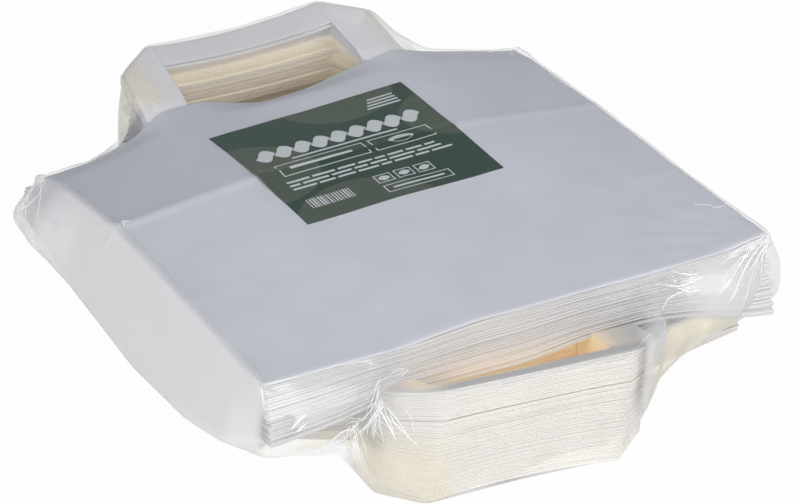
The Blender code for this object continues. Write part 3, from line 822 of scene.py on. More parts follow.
# %% Label card
LABEL_CENTRE = (-2.0, 42.0)
LABEL_TURN = math.radians(3)
LABEL_WIDTH = 107.0
LABEL_LENGTH = 104.0
LABEL_LIFT = 0.06
LABEL_THICK = 0.2
INK_FOOT = LABEL_LIFT + LABEL_THICK + 0.01
INK_TOP = LABEL_LIFT + LABEL_THICK + 0.04
CIRCLES = (((0.0, 0.52), 0.30), ((0.66, 1.08), 0.30), ((1.06, 0.62), 0.24), ((0.30, -0.10), 0.36))
CARD_GREEN = (0.018, 0.048, 0.035)
CARD_OLIVE = (0.065, 0.092, 0.068)


def label_bump(x, y):
    """The card bridges the ridge, so its left edge stands off a little there."""
    return 1.3 * hill(x, y, -58, 36, 9, 13) + 0.35 * hill(x, y, -40, 38, 22, 12)


def on_label(p, q):
    """Card coordinates, in millimetres from its middle, to the pack's plan."""
    x = LABEL_CENTRE[0] + p * math.cos(LABEL_TURN) - q * math.sin(LABEL_TURN)
    y = LABEL_CENTRE[1] + p * math.sin(LABEL_TURN) + q * math.cos(LABEL_TURN)
    return x, y


def card_slab(p, q, low, high):
    """A slab on the card between two heights over the top bag."""
    x, y = on_label(p, q)
    ground = top_height(x, y) + label_bump(x, y)
    return thin_sheet(x, y, ground + (low + high) / 2, high - low)


def card_material():
    """Green card: olive where an odd number of circles covers the card's own map, slightly glossy."""
    material, tree, shader = principled("label_card", (0.02, 0.05, 0.036), 0.4)
    chart = add_node(tree, "ShaderNodeUVMap", uv_map="card")
    total = 0.0
    for centre, radius in CIRCLES:
        distance = add_node(tree, "ShaderNodeVectorMath", operation="DISTANCE")
        distance.inputs[1].default_value = (*centre, 0)
        tree.links.new(chart.outputs["UV"], distance.inputs[0])
        inside = calculate(tree, "LESS_THAN", distance.outputs["Value"], radius)
        total = calculate(tree, "ADD", total, inside)
    odd = calculate(tree, "PINGPONG", total, 1.0)
    tree.links.new(mix_colour(tree, odd, CARD_GREEN, CARD_OLIVE), shader.inputs["Base Color"])
    add_bump(tree, shader, noise(tree, 900.0), 0.05, 0.0002)
    return material


def make_label():
    """The card, with its own map from 0 to 1 both ways."""
    p_places = bunched(-LABEL_WIDTH / 2, LABEL_WIDTH / 2, 70, 0.3)
    q_places = bunched(-LABEL_LENGTH / 2, LABEL_LENGTH / 2, 70, 0.3)
    p, q = np.meshgrid(p_places, q_places)
    part = card_slab(p, q, LABEL_LIFT, LABEL_LIFT + LABEL_THICK)
    label = make_piece("label_board", part, card_material(), ["label_card"])
    mesh = label.data
    corner = np.zeros(len(mesh.loops), np.int32)
    mesh.loops.foreach_get("vertex_index", corner)
    grid = np.stack([p, q], -1)
    chart = np.concatenate([grid.reshape(-1, 2), grid[1:-1, 1:-1].reshape(-1, 2)])
    chart = chart / (LABEL_WIDTH, LABEL_LENGTH) + 0.5
    mesh.uv_layers.new(name="card").data.foreach_set("uv", chart[corner].ravel())
    return label


def bar(left, foot, right, head):
    """A plain printed bar in card millimetres."""
    count = max(int((right - left) / 3), 1) + 4
    p, q = np.meshgrid(bunched(left, right, count, 0.1), bunched(foot, head, 3, 0.1))
    return card_slab(p, q, INK_FOOT, INK_TOP)


def leaf(middle, level, width, height, slant):
    """A printed leaf: half height = height / 2 * sin(pi t) ** 0.6 along its width."""
    t = np.linspace(0.0, 1.0, 16)
    across = np.array([-1, -0.98, 0, 0.98, 1])
    p = middle - width / 2 + width * t + slant * across[:, None] * height / 2
    q = level + across[:, None] * height / 2 * np.clip(np.sin(math.pi * t), 0.02, 1) ** 0.6
    return card_slab(p, q, INK_FOOT, INK_TOP)


def frame_bars(left, foot, right, head, line=0.7):
    """Four bars as an empty box."""
    low, high = foot + line, head - line
    return [bar(left, foot, right, low), bar(left, high, right, head),
            bar(left, low, left + line, high), bar(right - line, low, right, high)]


def make_print():
    """Leaves, two boxes, rows of dashes, upright bars, small boxes, and four bars in the corner."""
    random = np.random.default_rng(5)
    parts = []
    for index in range(9):
        parts.append(leaf(-40 + 10 * index, 17.5, 9.0, 12.5, 0.2))
    parts.append(bar(-30, 8.2, 28, 9.6))
    parts += frame_bars(-42, -6.5, 6, 5.5)
    parts += frame_bars(9, -6.5, 42, 5.5)
    parts.append(bar(-36, -1.6, -2, 0.6))
    parts.append(leaf(25, -0.5, 14, 7, 0.0))
    for row in range(3):
        start = -44.0
        while start < 38:
            length = random.uniform(5, 14)
            parts.append(bar(start, -13.2 - 3.6 * row, min(start + length, 43), -11.6 - 3.6 * row))
            start += length + 1.6
    for index in range(16):
        parts.append(bar(-44 + 1.5 * index, -40, -44 + 1.5 * index + random.uniform(0.5, 1.0), -31))
    for index in range(3):
        parts += frame_bars(-6 + 11 * index, -36, 3 + 11 * index, -28, 0.6)
        parts.append(leaf(-1.5 + 11 * index, -32, 6, 4.5, 0.1 * index))
    parts += frame_bars(-6, -46, 30, -39, 0.6)
    parts.append(bar(-2, -43.2, 26, -41.8))
    for index in range(4):
        parts.append(bar(30 - 1.5 * index, 43 - 3 * index, 44, 44.4 - 3 * index))
    part = join(parts)
    ink, tree, shader = principled("label_ink", (0.62, 0.66, 0.68), 0.45)
    tree.links.new(mix_colour(tree, noise(tree, 700.0), (0.58, 0.62, 0.64), (0.68, 0.71, 0.73)),
                   shader.inputs["Base Color"])
    return make_piece("label_print", part, ink, [], smooth=False)


label = make_label()
label_print = make_print()
print("label", len(label.data.polygons), "faces, print", len(label_print.data.polygons))

# %% [markdown]
# The shrink film is one closed skin. It could be shrunk round the bags by simulation, but the webs
# and the pulled corners are what shows, so they are placed one by one: stations run round the pack,
# each with a point at the film's upper rim, half way down and at its foot. Taut film is straight
# between what it touches, so the rims are straight lines with a little rounding; a parabola joins the
# three levels, and two sheets run in from the rims to the middle above and below.

# %% Film stations
FILM_GAP = 0.6
ON_TOP = None
STATIONS = (
    ((-130.6, -130.8, ON_TOP), (-131.6, -140.5, 24), (-127, -126, 12)),
    ((-100, -130.8, ON_TOP), (-100, -141.5, 27), (-100, -124, 3)),
    ((-72, -132, ON_TOP), (-88, -143, 30), (-88, -123, 0.3)),
    ((-78, -147, 50), (-89, -150, 25), (-88, -143, 0.3)),
    ((-82, -160, 52.5), (-86, -160, 27), (-88, -160, 0.3)),
    ((-62.5, -182.5, 58.8), (-67, -182, 30), (-71, -179, 0.3)),
    ((-14, -185, 58.8), (-19, -184.5, 30), (-24, -180, 1.5)),
    ((37, -185.5, 58.6), (32, -185, 30), (26, -181, 0.3)),
    ((58, -166, 54), (56, -166, 28), (47, -160, 0.3)),
    ((64, -150, 55), (66, -148, 30), (63, -141, 0.3)),
    ((76, -132.5, ON_TOP), (86, -142, 34), (82, -120, 0.6)),
    ((105, -131, ON_TOP), (110, -141.5, 34), (113, -108, 12)),
    ((131.5, -131.5, ON_TOP), (141, -128, 41), (136, -125, 28)),
    ((130.5, -60, ON_TOP), (136, -60, 30), (124, -60, 1)),
    ((130.5, 40, ON_TOP), (134, 40, 27), (129, 40, 0.3)),
    ((130.5, 100, ON_TOP), (135, 100, 26), (132, 100, 0.3)),
    ((131.5, 131.5, ON_TOP), (137, 138, 22), (134, 136, 0.3)),
    ((100, 131.5, ON_TOP), (100, 140, 24), (100, 137, 0.3)),
    ((80, 132.5, ON_TOP), (82, 143, 25), (82, 138, 0.3)),
    ((70, 146, 60.0), (73, 152, 28), (76, 146, 0.3)),
    ((68.2, 171.3, 61.2), (69.5, 172, 32), (69.5, 170, 4)),
    ((47.6, 192.8, 62.1), (48, 193.6, 34), (48, 192.5, 6.5)),
    ((24, 192.8, 58.6), (24, 193.6, 34), (24, 192.5, 6.5)),
    ((0, 192.8, 56.6), (0, 193.6, 33), (0, 192.5, 6.5)),
    ((-24, 192.8, 56.0), (-24, 193.6, 33), (-24, 192.5, 6.5)),
    ((-48, 192.8, 57.1), (-48, 193.6, 32), (-48, 192.5, 6.5)),
    ((-70.6, 170, 56.3), (-73.5, 171, 30), (-73.5, 169, 4)),
    ((-74.5, 146, 55.0), (-78, 152, 26), (-80, 150, 0.3)),
    ((-83, 133, 42.4), (-85, 147, 20), (-85, 149, 0.3)),
    ((-105, 131.7, 33.4), (-107, 147, 15), (-107, 150, 0.3)),
    ((-131.5, 131.5, 31), (-145, 134, 16), (-139, 143, 0.3)),
    ((-130.5, 105, ON_TOP), (-147, 108, 17), (-141, 113, 0.3)),
    ((-130.5, 70, ON_TOP), (-138.6, 75, 22), (-140, 78, 0.3)),
    ((-130.5, 0, ON_TOP), (-138.4, 0, 25), (-143, -10, 0.3)),
    ((-130.5, -80, ON_TOP), (-140, -80, 25), (-144, -72, 7)),
    ((-130.5, -112, ON_TOP), (-140, -114, 25), (-142, -112, 14.5)),
)
DENSE = {0: 2, 1: 2.5, 2: 2.5, 3: 2.5, 4: 1.6, 8: 1.5, 9: 2, 10: 3, 11: 3.5, 12: 1.2, 15: 1.5, 16: 1.5,
         28: 1.5, 29: 1.6, 30: 1.8, 31: 1.4, 34: 1.5, 35: 2}
RIM_SOFTNESS = 2.2
RIM_REACH = 9
AROUND = 770
WALL_ROWS = 40
SHEET_ROWS = 18
FOOT_ROWS = 6
FOOT_LEVEL = 0.15


def film_height(x, y):
    """Film over the bags: the taut top, the sheet's relief, the card's bump and a gap."""
    inside_x = np.clip(x, -HALF, HALF)
    inside_y = np.clip(y, -HALF, HALF)
    return (read(TAUT, inside_x, inside_y) + paper_relief(inside_x, inside_y)
            + label_bump(inside_x, inside_y) + FILM_GAP)


def rims():
    """The three rims sampled round the pack, closer together where the film is creased."""
    points = [[(x, y, 0.0 if z is ON_TOP else z) for x, y, z in station] for station in STATIONS]
    points = np.array(points, float)
    lifted = [index for index, station in enumerate(STATIONS) if station[0][2] is ON_TOP]
    points[lifted, 0, 2] = film_height(points[lifted, 0, 0], points[lifted, 0, 1])
    ring = np.concatenate([points, points[:1]])
    steps = np.linalg.norm(np.diff(ring, axis=0), axis=2).mean(1)
    density = [DENSE.get(index, 1) for index in range(len(steps))]
    place = np.concatenate([[0], np.cumsum(steps)])
    weight = np.concatenate([[0], np.cumsum(steps * density)])
    fine = np.arange(int(place[-1]))
    columns = ring.reshape(len(ring), -1).T
    line = np.stack([np.interp(fine, place, column) for column in columns], -1)
    is_lifted = np.isin(np.arange(len(ring)) % len(STATIONS), lifted).astype(float)
    on_top = np.interp(fine, place, is_lifted) > 0.999
    line[on_top, 2] = film_height(line[on_top, 0], line[on_top, 1])
    kernel = np.exp(-np.arange(-RIM_REACH, RIM_REACH + 1) ** 2 / (2 * RIM_SOFTNESS ** 2))
    kernel /= kernel.sum()
    padded = np.concatenate([line[-RIM_REACH:], line, line[:RIM_REACH]])
    line = np.stack([np.convolve(column, kernel, "valid") for column in padded.T], -1)
    at = np.interp(np.linspace(0, weight[-1], AROUND, endpoint=False), weight, place)
    closed = np.concatenate([line, line[:1]])
    sampled = np.stack([np.interp(at, np.arange(len(closed)), column) for column in closed.T], -1)
    return sampled.reshape(AROUND, 3, 3)


def film_surface():
    """Rows from the foot's middle out to the foot rim, up the wall and in over the top."""
    top, middle, foot = rims().transpose(1, 0, 2)
    bend = 2 * middle - (foot + top) / 2
    up = np.linspace(0, 1, WALL_ROWS)[:, None, None]
    wall = (1 - up) ** 2 * foot + 2 * up * (1 - up) * bend + up ** 2 * top
    reach = 1 - np.linspace(0, 1, SHEET_ROWS + 1)[1:-1] ** 1.25
    sheet = top * reach[:, None, None]
    edge = HALF / np.maximum(abs(top[:, 0]), abs(top[:, 1]))
    at_edge = film_height(top[:, 0] * edge, top[:, 1] * edge)
    beyond = ((reach[:, None] - edge) / (1 - edge + 1e-9)).clip(0, 1)
    over = film_height(sheet[..., 0], sheet[..., 1])
    sheet[..., 2] = np.where(reach[:, None] < edge, over, at_edge + (top[:, 2] - at_edge) * beyond)
    inward = np.linspace(0, 1, FOOT_ROWS + 1)[1:]
    below = foot * inward[:, None, None]
    rise = ((inward[:, None] - 0.72) / 0.28).clip(0, 1)
    below[..., 2] = FOOT_LEVEL + (foot[:, 2] - FOOT_LEVEL) * rise
    return np.concatenate([below[:-1], wall, sheet])


def normals_of(surface):
    """Cross product of the two grid directions, pointing away from the pack."""
    around = np.roll(surface, -1, 1) - np.roll(surface, 1, 1)
    up = np.gradient(surface, axis=0)
    normal = np.cross(around, up)
    return normal / (np.linalg.norm(normal, axis=2, keepdims=True) + 1e-9)


film_grid = film_surface()
print("film grid", film_grid.shape, "from", film_grid.reshape(-1, 3).min(0).round(1), "to",
      film_grid.reshape(-1, 3).max(0).round(1))

# %% [markdown]
# Where the film shrank over a corner it gathers into creases that fan out from it. Each crease is a
# line in space; the skin rises or sinks along it in a narrow ridge that fades at the line's ends. Each
# crease also carries a painted highlight: white along its crest, standing in for the reflection there.

# %% Film creases
# Each fan has its corner, its first and last end, how many, width, height, painted highlight and seed
FANS = (
    ((131, -132, 68), (84, -134, 60), (112, -142, 36), 12, 1.0, 0.5, 0.7, 11),
    ((133, -130, 66), (141, -128, 40), (134, -70, 45), 8, 1.3, 0.6, 0.6, 12),
    ((131, 131, 44), (100, 131, 46), (134, 100, 30), 10, 1.5, 0.7, 0.4, 13),
    ((131, 131, 44), (110, 130, 49), (131, 105, 48), 7, 1.3, 0.5, 0.4, 14),
    ((-131, 131, 31), (-146, 100, 20), (-142, 135, 3), 14, 1.2, 1.0, 0.55, 15),
    ((-144, 112, 20), (-138, 70, 30), (-142, 80, 6), 10, 1.3, 0.9, 0.3, 16),
    ((-146, 118, 14), (-140, 104, 30), (-143, 96, 4), 8, 1.1, 0.9, 0.6, 27),
    ((-131, -131, 52), (-132, -141, 26), (-105, -141, 34), 6, 1.1, 0.4, 0.3, 17),
    ((-90, -143, 28), (-104, -131, 8), (-80, -160, 10), 14, 1.2, 0.8, 0.8, 18),
    ((-84, -158, 46), (-92, -143, 20), (-72, -173, 30), 12, 1.1, 0.8, 1.0, 19),
    ((-66, -150, 46), (-96, -138, 34), (-80, -164, 20), 10, 1.1, 0.7, 0.8, 26),
    ((56, -160, 52), (70, -148, 30), (90, -142, 44), 8, 1.5, 0.6, 0.4, 20),
    ((-82, 133, 42), (-130, 131, 31), (-100, 148, 12), 8, 1.3, 0.6, 0.5, 21),
    ((-131, 41, 48), (-138, 30, 30), (-138, 62, 30), 5, 1.2, 0.5, 0.25, 22),
    ((-124, 41, 50), (-131, 33, 48), (-116, 44, 52), 6, 0.9, 0.35, 0.9, 23),
    ((-76, 140, 48), (-80, 168, 50), (-90, 150, 20), 8, 1.2, 0.5, 0.4, 24),
    ((72, 140, 52), (70, 168, 50), (90, 142, 30), 8, 1.2, 0.5, 0.4, 25),
)
# Creases from the front right corner, and short creases with their widths that paint highlight patches
PULLED_CORNER = (129, -132, 66)
PULLED_ENDS = ((101, -143, 41), (98, -142, 48), (105, -143, 44), (113, -138, 56), (125, -136, 46),
               (133, -131, 42))
HIGHLIGHT_CREASES = (((66, -137, 59), (94, -137, 58), 1.3), ((78, -134, 62), (92, -136, 60), 1.1),
           ((62, -150, 53), (84, -141, 54), 1.2), ((78, -139, 56), (90, -140, 53), 1.4),
           ((-120, -141, 32), (-112, -140, 37), 1.5), ((-118, -141, 30), (-113, -141, 33), 1.2))
# Each path has its places, width, height and painted highlight
PATHS = (
    (((-94, -142, 28), (-89, -144, 29), (-86, -152, 35), (-83, -161, 36)), 0.8, 0.5, 0.6),
    (((-81, -163, 45), (-79, -167, 37), (-76, -170, 34)), 0.7, 0.4, 0.7),
    (((-77, -168, 46), (-74, -171, 42), (-74, -173, 36)), 0.7, 0.4, 0.5),
    (((-84, -143, 39), (-80, -145, 45), (-74, -146, 48)), 0.7, 0.4, 0.5),
    (((-61, -179, 58), (-60, -183, 57), (-41, -184, 57), (-15, -185, 57), (13, -185, 57), (36, -182, 59),
      (48, -172, 57)), 0.7, 0.25, 0.6),
    (((-131, -112, 51), (-130, -130, 52), (-110, -131.5, 52), (-80, -132, 53),
      (-76, -136, 53)), 0.8, 0.25, 0.55),
    (((-132, 122, 33), (-138, 117, 29), (-145, 124, 19)), 0.9, 0.5, 0.7),
    (((-140, 106, 29), (-138, 90, 31), (-140, 79, 18), (-142, 88, 8)), 1.1, 0.6, 0.28),
    (((-126, 130, 32), (-110, 130.5, 33), (-99, 131, 35), (-86, 131, 41)), 0.9, 0.3, 0.8),
    (((101, -96, 64), (114, -114, 65), (128, -130, 68)), 0.9, 0.3, 0.25),
    (((118, -83, 64), (128, -95, 65)), 0.8, 0.3, 0.6),
    (((131, 119, 46), (131, 100, 49), (130.5, 60, 53)), 0.9, 0.3, 0.5),
)


def crease(surface, start, end, width):
    """Profile of a ridge along a line: exp(-(distance / width) squared), fading to both ends."""
    start, end = np.array(start, float), np.array(end, float)
    line = end - start
    share = ((surface - start) @ line) / (line @ line)
    nearest = start + share.clip(0, 1)[..., None] * line
    distance = np.linalg.norm(surface - nearest, axis=-1)
    fade = ease(share * 5 + 0.4) * ease((1 - share) * 3 + 0.1)
    return np.exp(-(distance / width) ** 2) * fade


def fan_of_creases(origin, first, last, count, width, height, white, seed):
    """Creases from one corner to points spread between two ends, each a bit different."""
    random = np.random.default_rng(seed)
    first, last = np.array(first, float), np.array(last, float)
    creases = []
    for share in np.linspace(0, 1, count):
        end = first + (last - first) * (share + random.normal(0, 0.4 / count))
        start = np.array(origin) + random.normal(0, 1.5, 3)
        size = random.uniform(0.7, 1.3)
        sign = random.choice((1, 1, -1))
        end = start + (end - start) * random.uniform(0.6, 1.1)
        creases.append((start, end, width * size, sign * height * size, white * random.uniform(0.2, 1.0)))
    return creases


def all_creases():
    """Every crease as start, end, width, height in mm and painted highlight."""
    creases = []
    for fan in FANS:
        creases += fan_of_creases(*fan)
    creases += [(PULLED_CORNER, end, 1.0, 0.4, 0.75) for end in PULLED_ENDS]
    creases += [(start, end, width, 0.3, 1.0) for start, end, width in HIGHLIGHT_CREASES]
    for places, *measures in PATHS:
        creases += [(start, end, *measures) for start, end in zip(places, places[1:])]
    return creases


def film_relief(surface):
    """Heights of all creases added up, and the painted highlight of the strongest."""
    relief = 0.2 * ripple(surface[..., 0] + surface[..., 2], surface[..., 1] - surface[..., 2], 45, 31)
    white = 0 * relief
    for start, end, width, height, painted_highlight in all_creases():
        profile = crease(surface, start, end, width)
        relief += height * profile
        white = np.maximum(white, painted_highlight * profile)
    return relief.clip(-0.25, None), white


relief, painted_highlight = film_relief(film_grid)
calm = ease((film_grid[..., 2] - 0.5) / 4)
film_grid = film_grid + normals_of(film_grid) * (relief * calm)[..., None]
print("creases up to", relief.max().round(2), "mm")

# %% [markdown]
# Shrink film is clear, with a milky cast where it is doubled, stretched or crumpled. So the material
# is mostly Transparent, with a little white haze from an attribute and a sharp gloss that grows as the
# view gets flatter, (1 - cosine) to the fifth. Where the film clings to paper its gloss is weaker, so
# a second attribute, shine, scales it: low on the flat top, full along edges, creases and webs. Two
# more attributes say where the haze is cream and where white streaks of milk paint highlights along
# the creases.

# %% Film material and skin
HEAD_ON_GLOSS = 0.06
FLAT_GLOSS = 0.5
FILM_WALL = 0.08
MILK = (0.94, 0.94, 0.95)
CREAM_MILK = (0.96, 0.91, 0.76)
# Painted highlights: thin white threads of milk along the crease crests
THREAD_SCALE = 420.0
THREAD_SHARE = 0.42
CREAM_THINNING = 0.35
SIDE_HAZE = 0.62
REAR_SIDE_HAZE = 0.30
WEB_HAZE = 0.14
FRONT_LOBE_HAZE = 0.25
REAR_LOBE_HAZE = 0.3
BESIDE_HAZE = 0.5
CHAMFER_HAZE = 0.4
RIGHT_HAZE = 0.10
FRONT_RIGHT_HAZE = 0.3


def milk_and_painted_highlights(tree):
    """Share of milk: haze, thinner in patches where cream, and painted highlights as white threads."""
    # Painted highlight streaks along the crease crests
    threads = stretch(tree, thin_lines(tree, THREAD_SCALE), 0.1, 0.9)
    painted_streaks = added(tree, attribute(tree, "white"), scaled(tree, threads, THREAD_SHARE))
    patchy = stretch(tree, noise(tree, 45.0), 0.36, 0.64)
    thin = scaled(tree, scaled(tree, attribute(tree, "cream"), patchy), -CREAM_THINNING)
    haze = scaled(tree, attribute(tree, "haze"), calculate(tree, "ADD", thin, 1.0))
    return added(tree, haze, stretch(tree, painted_streaks, 0.62, 1.0))


def mirror_share(tree):
    """Share of gloss: shine * (HEAD_ON_GLOSS + FLAT_GLOSS (1 - cosine) ** 5), on outer faces alone."""
    facing = add_node(tree, "ShaderNodeLayerWeight")
    facing.inputs["Blend"].default_value = 0.5
    steep = calculate(tree, "POWER", facing.outputs["Facing"], 5.0)
    gloss = calculate(tree, "MULTIPLY_ADD", steep, FLAT_GLOSS, HEAD_ON_GLOSS)
    side = add_node(tree, "ShaderNodeNewGeometry")
    outside = calculate(tree, "SUBTRACT", 1.0, side.outputs["Backfacing"])
    return scaled(tree, scaled(tree, gloss, attribute(tree, "shine")), outside)


def film_material():
    """Clear film, mixed with milk, which also paints highlights, and with a sharp gloss by its mirror
    share.
    """
    material = bpy.data.materials.new("shrink_film")
    material.use_nodes = True
    tree = material.node_tree
    tree.nodes.remove(tree.nodes["Principled BSDF"])
    clear = add_node(tree, "ShaderNodeBsdfTransparent")
    clear.inputs["Color"].default_value = (0.99, 0.99, 0.99, 1)
    milk = add_node(tree, "ShaderNodeBsdfDiffuse")
    tree.links.new(mix_colour(tree, attribute(tree, "cream"), MILK, CREAM_MILK), milk.inputs["Color"])
    gloss = add_node(tree, "ShaderNodeBsdfGlossy")
    gloss.inputs["Roughness"].default_value = 0.09
    cloudy = mix_shader(tree, milk_and_painted_highlights(tree), clear.outputs[0], milk.outputs[0])
    shiny = mix_shader(tree, mirror_share(tree), cloudy, gloss.outputs[0])
    tree.links.new(shiny, tree.nodes["Material Output"].inputs["Surface"])
    return material


def film_haze(points):
    """How milky the film is: the left side is doubled, the lobes and the webs are stretched."""
    x, y, z = points.T
    side = ease((-x - 129.4) / 1.6) * ease((y + 139) / 9)
    haze = SIDE_HAZE * side * ease((112 - y) / 20) + REAR_SIDE_HAZE * side * ease((y - 92) / 20)
    gap = ease((abs(x) - 56) / 10) * ease((128 - abs(x)) / 20)
    left = x < 0
    haze += gap * (WEB_HAZE + FRONT_LOBE_HAZE * left * ease((30 - z) / 12)) * ease((-y - 134) / 5)
    haze += gap * (WEB_HAZE + REAR_LOBE_HAZE * left) * ease((y - 136) / 6)
    beside = ease((-y - 118) / 8) * ease((x - 50) / 8)
    beside = beside * (1 - ease((-y - 148) / 14)) * (1 - ease((x - 128) / 4))
    haze += BESIDE_HAZE * beside * ease((meeting_height(x, y) + 2 - z) / 5)
    chamfer = ease((0.83 * x - 0.56 * y - 130) / 4) * ease((y + 188) / 6) * ease((65 - x) / 10)
    haze += CHAMFER_HAZE * chamfer * ease((-y - 140) / 6) * ease((x - 34) / 8)
    haze += RIGHT_HAZE * ease((x - 130.5) / 4)
    haze += FRONT_RIGHT_HAZE * ease((-y - 130) / 4) * ease((x - 72) / 25) * (1 - ease((x - 128) / 4))
    return haze.clip(0, 0.9)


def film_shine(points, white):
    """How strongly the film mirrors: little where it clings to the top, fully over edges and webs."""
    x, y, z = points.T
    reach = np.maximum(abs(x), abs(y) - 0.5 * ease((abs(y) - 130) / 4))
    beyond = ease((reach - 126) / 5)
    front = ease((-y - 128) / 3) * ease((118 - abs(x)) / 10) * ease((z - 28) / 6)
    return np.clip(0.10 + 0.90 * beyond * (1 - 0.6 * front) + white, 0, 1)


def film_cream(points, white):
    """Where the film over the webs looks cream: it lies double there over warm paper."""
    x, y, z = points.T
    under = np.where(y > 0, 1.0, ease((meeting_height(x, y) + 4 - z) / 8))
    webs = ease((abs(y) - 128) / 12) * ease((abs(x) - 42) / 12) * under
    return webs.clip(0, 1) * (1 - ease(white * 3))


def film_faces(rows, columns):
    """Faces of the closed grid, with a fan of triangles round a pole at each end."""
    numbers = np.arange(rows * columns).reshape(rows, columns)
    numbers = np.concatenate([numbers, numbers[:, :1]], 1)
    faces = [*quads(numbers)]
    for rim, pole in ((numbers[0], rows * columns), (numbers[-1], rows * columns + 1)):
        faces += [(first, second, pole) for first, second in zip(rim[:-1], rim[1:])]
    return faces


def make_film():
    """The whole skin as one piece; Solidify gives its wall."""
    foot_pole = film_grid[0].mean(0)
    top_pole = np.array([0, 0, film_height(np.zeros(1), np.zeros(1))[0]])
    points = np.concatenate([film_grid.reshape(-1, 3), [foot_pole], [top_pole]])
    # The white attribute holds the painted highlights along the crease crests
    white = np.append(painted_highlight.ravel(), (0, 0))
    values = {"haze": film_haze(points), "shine": film_shine(points, white),
              "cream": film_cream(points, white), "white": 0.55 * white}
    part = (points, film_faces(*film_grid.shape[:2]))
    skin = make_piece("film_skin", part, film_material(), ["film_wrap"], values)
    wall = skin.modifiers.new("film_wall", "SOLIDIFY")
    wall.thickness = FILM_WALL * MM
    wall.offset = 1
    return skin


film = make_film()
print("film", len(film.data.polygons), "faces")

# %% [markdown]
# Along the whitest creases lie thin raised folds, nearly white and faintly glowing: painted
# highlights that stand in for the lamps' reflections along the crests. Each fold is a flat tapering
# profile carried along a path that is laid on the skin. As geometry it stays a crisp line in every
# light, which a coarse grid of the skin couldn't show.

# %% Film folds, painted highlights
FOLD_STEPS = 14


def laid_on_skin(line):
    """Weighted mean of the skin's six points nearest to each point of a line, and of their normals."""
    rows = film_grid[FOOT_ROWS:-2]
    skin, normals = rows.reshape(-1, 3), normals_of(film_grid)[FOOT_ROWS:-2].reshape(-1, 3)
    distance = np.linalg.norm(skin - line[:, None], axis=2)
    nearest = np.argpartition(distance, 6, axis=1)[:, :6]
    weight = 1 / (np.take_along_axis(distance, nearest, 1) + 0.5) ** 2
    weight = (weight / weight.sum(1, keepdims=True))[..., None]
    return (skin[nearest] * weight).sum(1), (normals[nearest] * weight).sum(1)


def fold(start, end, width, bow):
    """A thin ridge from start to end, bowed by bow * sin(pi t) and width * sin(pi t) ** 0.6 wide."""
    t = np.linspace(0, 1, FOLD_STEPS)[:, None]
    place, normal = laid_on_skin(np.array(start) + (np.array(end) - start) * t + bow * np.sin(math.pi * t))
    across = np.cross(np.gradient(place, axis=0), normal)
    across /= np.linalg.norm(across, axis=1, keepdims=True) + 1e-9
    half = width / 2 * np.sin(math.pi * (0.04 + 0.92 * t)) ** 0.6
    crest = place + normal * (0.12 + 0.15 * half)
    under = place - normal * 0.03
    profile = np.stack([place - across * half, crest, place + across * half, under], 1)
    points = profile.reshape(-1, 3) + FILM_WALL * normal.repeat(4, 0)
    numbers = np.arange(4 * FOLD_STEPS).reshape(FOLD_STEPS, 4)
    walls = quads(np.concatenate([numbers, numbers[:, :1]], 1))
    return points, np.concatenate([walls, numbers[:1], numbers[-1:]])


def make_highlight_folds():
    """A painted highlight fold along every crease that is white enough, bowed by a random part of its
    length.
    """
    random = np.random.default_rng(60)
    parts = []
    for start, end, width, _, white in all_creases():
        if white > 0.3:
            length = np.linalg.norm(np.array(end) - start)
            parts.append(fold(start, end, 0.75 * width * white, random.normal(0, 0.09 * length, 3)))
    # Painted highlights: near-white folds that also emit a little light of their own
    material, tree, shader = principled("painted_highlight_film", (0.93, 0.93, 0.93), 0.25)
    tint = mix_colour(tree, noise(tree, 300.0), (0.90, 0.90, 0.91), (0.96, 0.96, 0.95))
    tree.links.new(tint, shader.inputs["Base Color"])
    tree.links.new(tint, shader.inputs["Emission Color"])
    shader.inputs["Emission Strength"].default_value = 0.15
    return make_piece("film_highlight_folds", join(parts), material, [])


highlight_folds = make_highlight_folds()
print("highlight_folds", len(highlight_folds.data.polygons), "faces")

# %% [markdown]
# A plain pale floor and soft studio light. The two strongest lamps stand low in front and at the left,
# because the photograph's fronts are brighter than its top; a weak one hangs above, and four narrow
# strips draw the lines of light along the film's edges. Floor and background are white only for
# camera, gloss and transmission rays, so the dull paper is lit by the lamps and a faint world alone.

# %% Stage and light
FLOOR_WHITE = 0.97
WORLD_TINT = (0.90, 0.93, 1.0, 1)
WORLD_POWER = 0.27
WHITE = (1, 1, 1, 1)


def looking_rays(tree):
    """1 for camera, glossy and transmission rays, 0 for diffuse and shadow rays."""
    rays = add_node(tree, "ShaderNodeLightPath").outputs
    seen = calculate(tree, "MAXIMUM", rays["Is Camera Ray"], rays["Is Glossy Ray"])
    return calculate(tree, "MAXIMUM", seen, rays["Is Transmission Ray"])


def make_floor():
    """A wide pale floor, which looking rays see as nearly white."""
    bpy.ops.mesh.primitive_plane_add(size=12)
    floor = bpy.context.object
    floor.name = "studio_floor"
    material, tree, shader = principled("studio_floor", (0.86, 0.86, 0.86), 0.9)
    glow = add_node(tree, "ShaderNodeEmission")
    glow.inputs["Color"].default_value = WHITE
    share = scaled(tree, looking_rays(tree), FLOOR_WHITE)
    mixed = mix_shader(tree, share, shader.outputs[0], glow.outputs[0])
    tree.links.new(mixed, tree.nodes["Material Output"].inputs["Surface"])
    floor.data.materials.append(material)


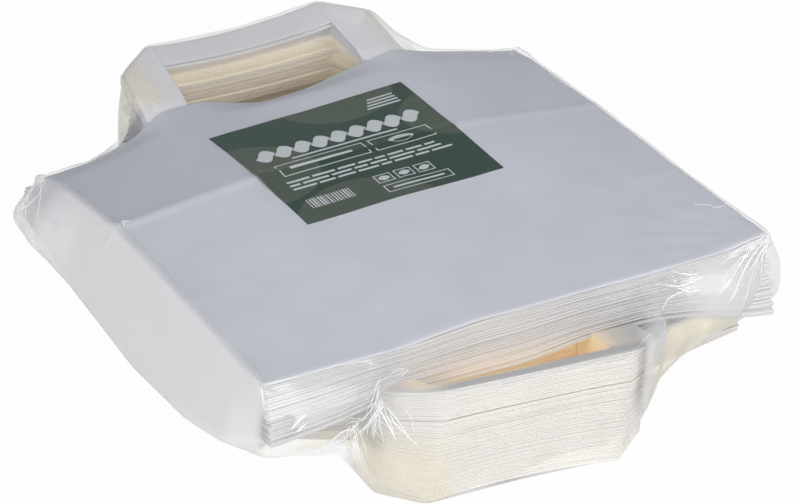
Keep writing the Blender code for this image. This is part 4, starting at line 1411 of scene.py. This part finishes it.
def make_world():
    """Faint cool light from all around, and a white background for looking rays."""
    world = bpy.data.worlds.new("studio_world")
    bpy.context.scene.world = world
    world.use_nodes = True
    tree = world.node_tree
    soft = tree.nodes["Background"]
    soft.inputs["Color"].default_value = WORLD_TINT
    soft.inputs["Strength"].default_value = WORLD_POWER
    white = add_node(tree, "ShaderNodeBackground")
    white.inputs["Strength"].default_value = 1
    white.inputs["Color"].default_value = WHITE
    mixed = mix_shader(tree, looking_rays(tree), soft.outputs[0], white.outputs[0])
    tree.links.new(mixed, tree.nodes["World Output"].inputs["Surface"])


def make_lamp(name, azimuth, height, distance, size, power, colour):
    """An area lamp that looks at the pack from an azimuth (0 is the front) and a height in degrees."""
    around, up = math.radians(azimuth), math.radians(height)
    back = Vector((math.sin(around) * math.cos(up), -math.cos(around) * math.cos(up), math.sin(up)))
    data = bpy.data.lights.new(name, "AREA")
    data.shape = "RECTANGLE"
    data.size, data.size_y = size
    data.energy = power
    data.color = colour
    lamp = bpy.data.objects.new(name, data)
    lamp.location = back * distance + Vector((0, 0, 0.03))
    lamp.rotation_mode = "QUATERNION"
    lamp.rotation_quaternion = back.to_track_quat("Z", "Y")
    bpy.context.scene.collection.objects.link(lamp)
    return lamp


make_floor()
make_world()
lamps = [
    make_lamp("front_softbox", 12, 20, 2.6, (2.4, 1.2), 31, (1.0, 0.985, 0.965)),
    make_lamp("left_softbox", -76, 10, 2.4, (1.2, 0.7), 21, (1.0, 0.99, 0.98)),
    make_lamp("top_softbox", 35, 70, 2.2, (1.2, 0.8), 6, (1.0, 1.0, 1.0)),
    make_lamp("edge_strip", 15, 60, 1.8, (1.2, 0.06), 2, (1.0, 1.0, 1.0)),
    make_lamp("left_strip", -60, 48, 1.8, (0.9, 0.04), 2, (1.0, 1.0, 1.0)),
    make_lamp("front_strip", -30, 20, 1.6, (0.04, 0.7), 2, (1.0, 1.0, 1.0)),
    make_lamp("right_strip", 60, 35, 1.8, (0.04, 0.8), 2, (1.0, 1.0, 1.0)),
]
bpy.context.scene.view_settings.view_transform = "Standard"
print("lamps", [lamp.name for lamp in lamps])
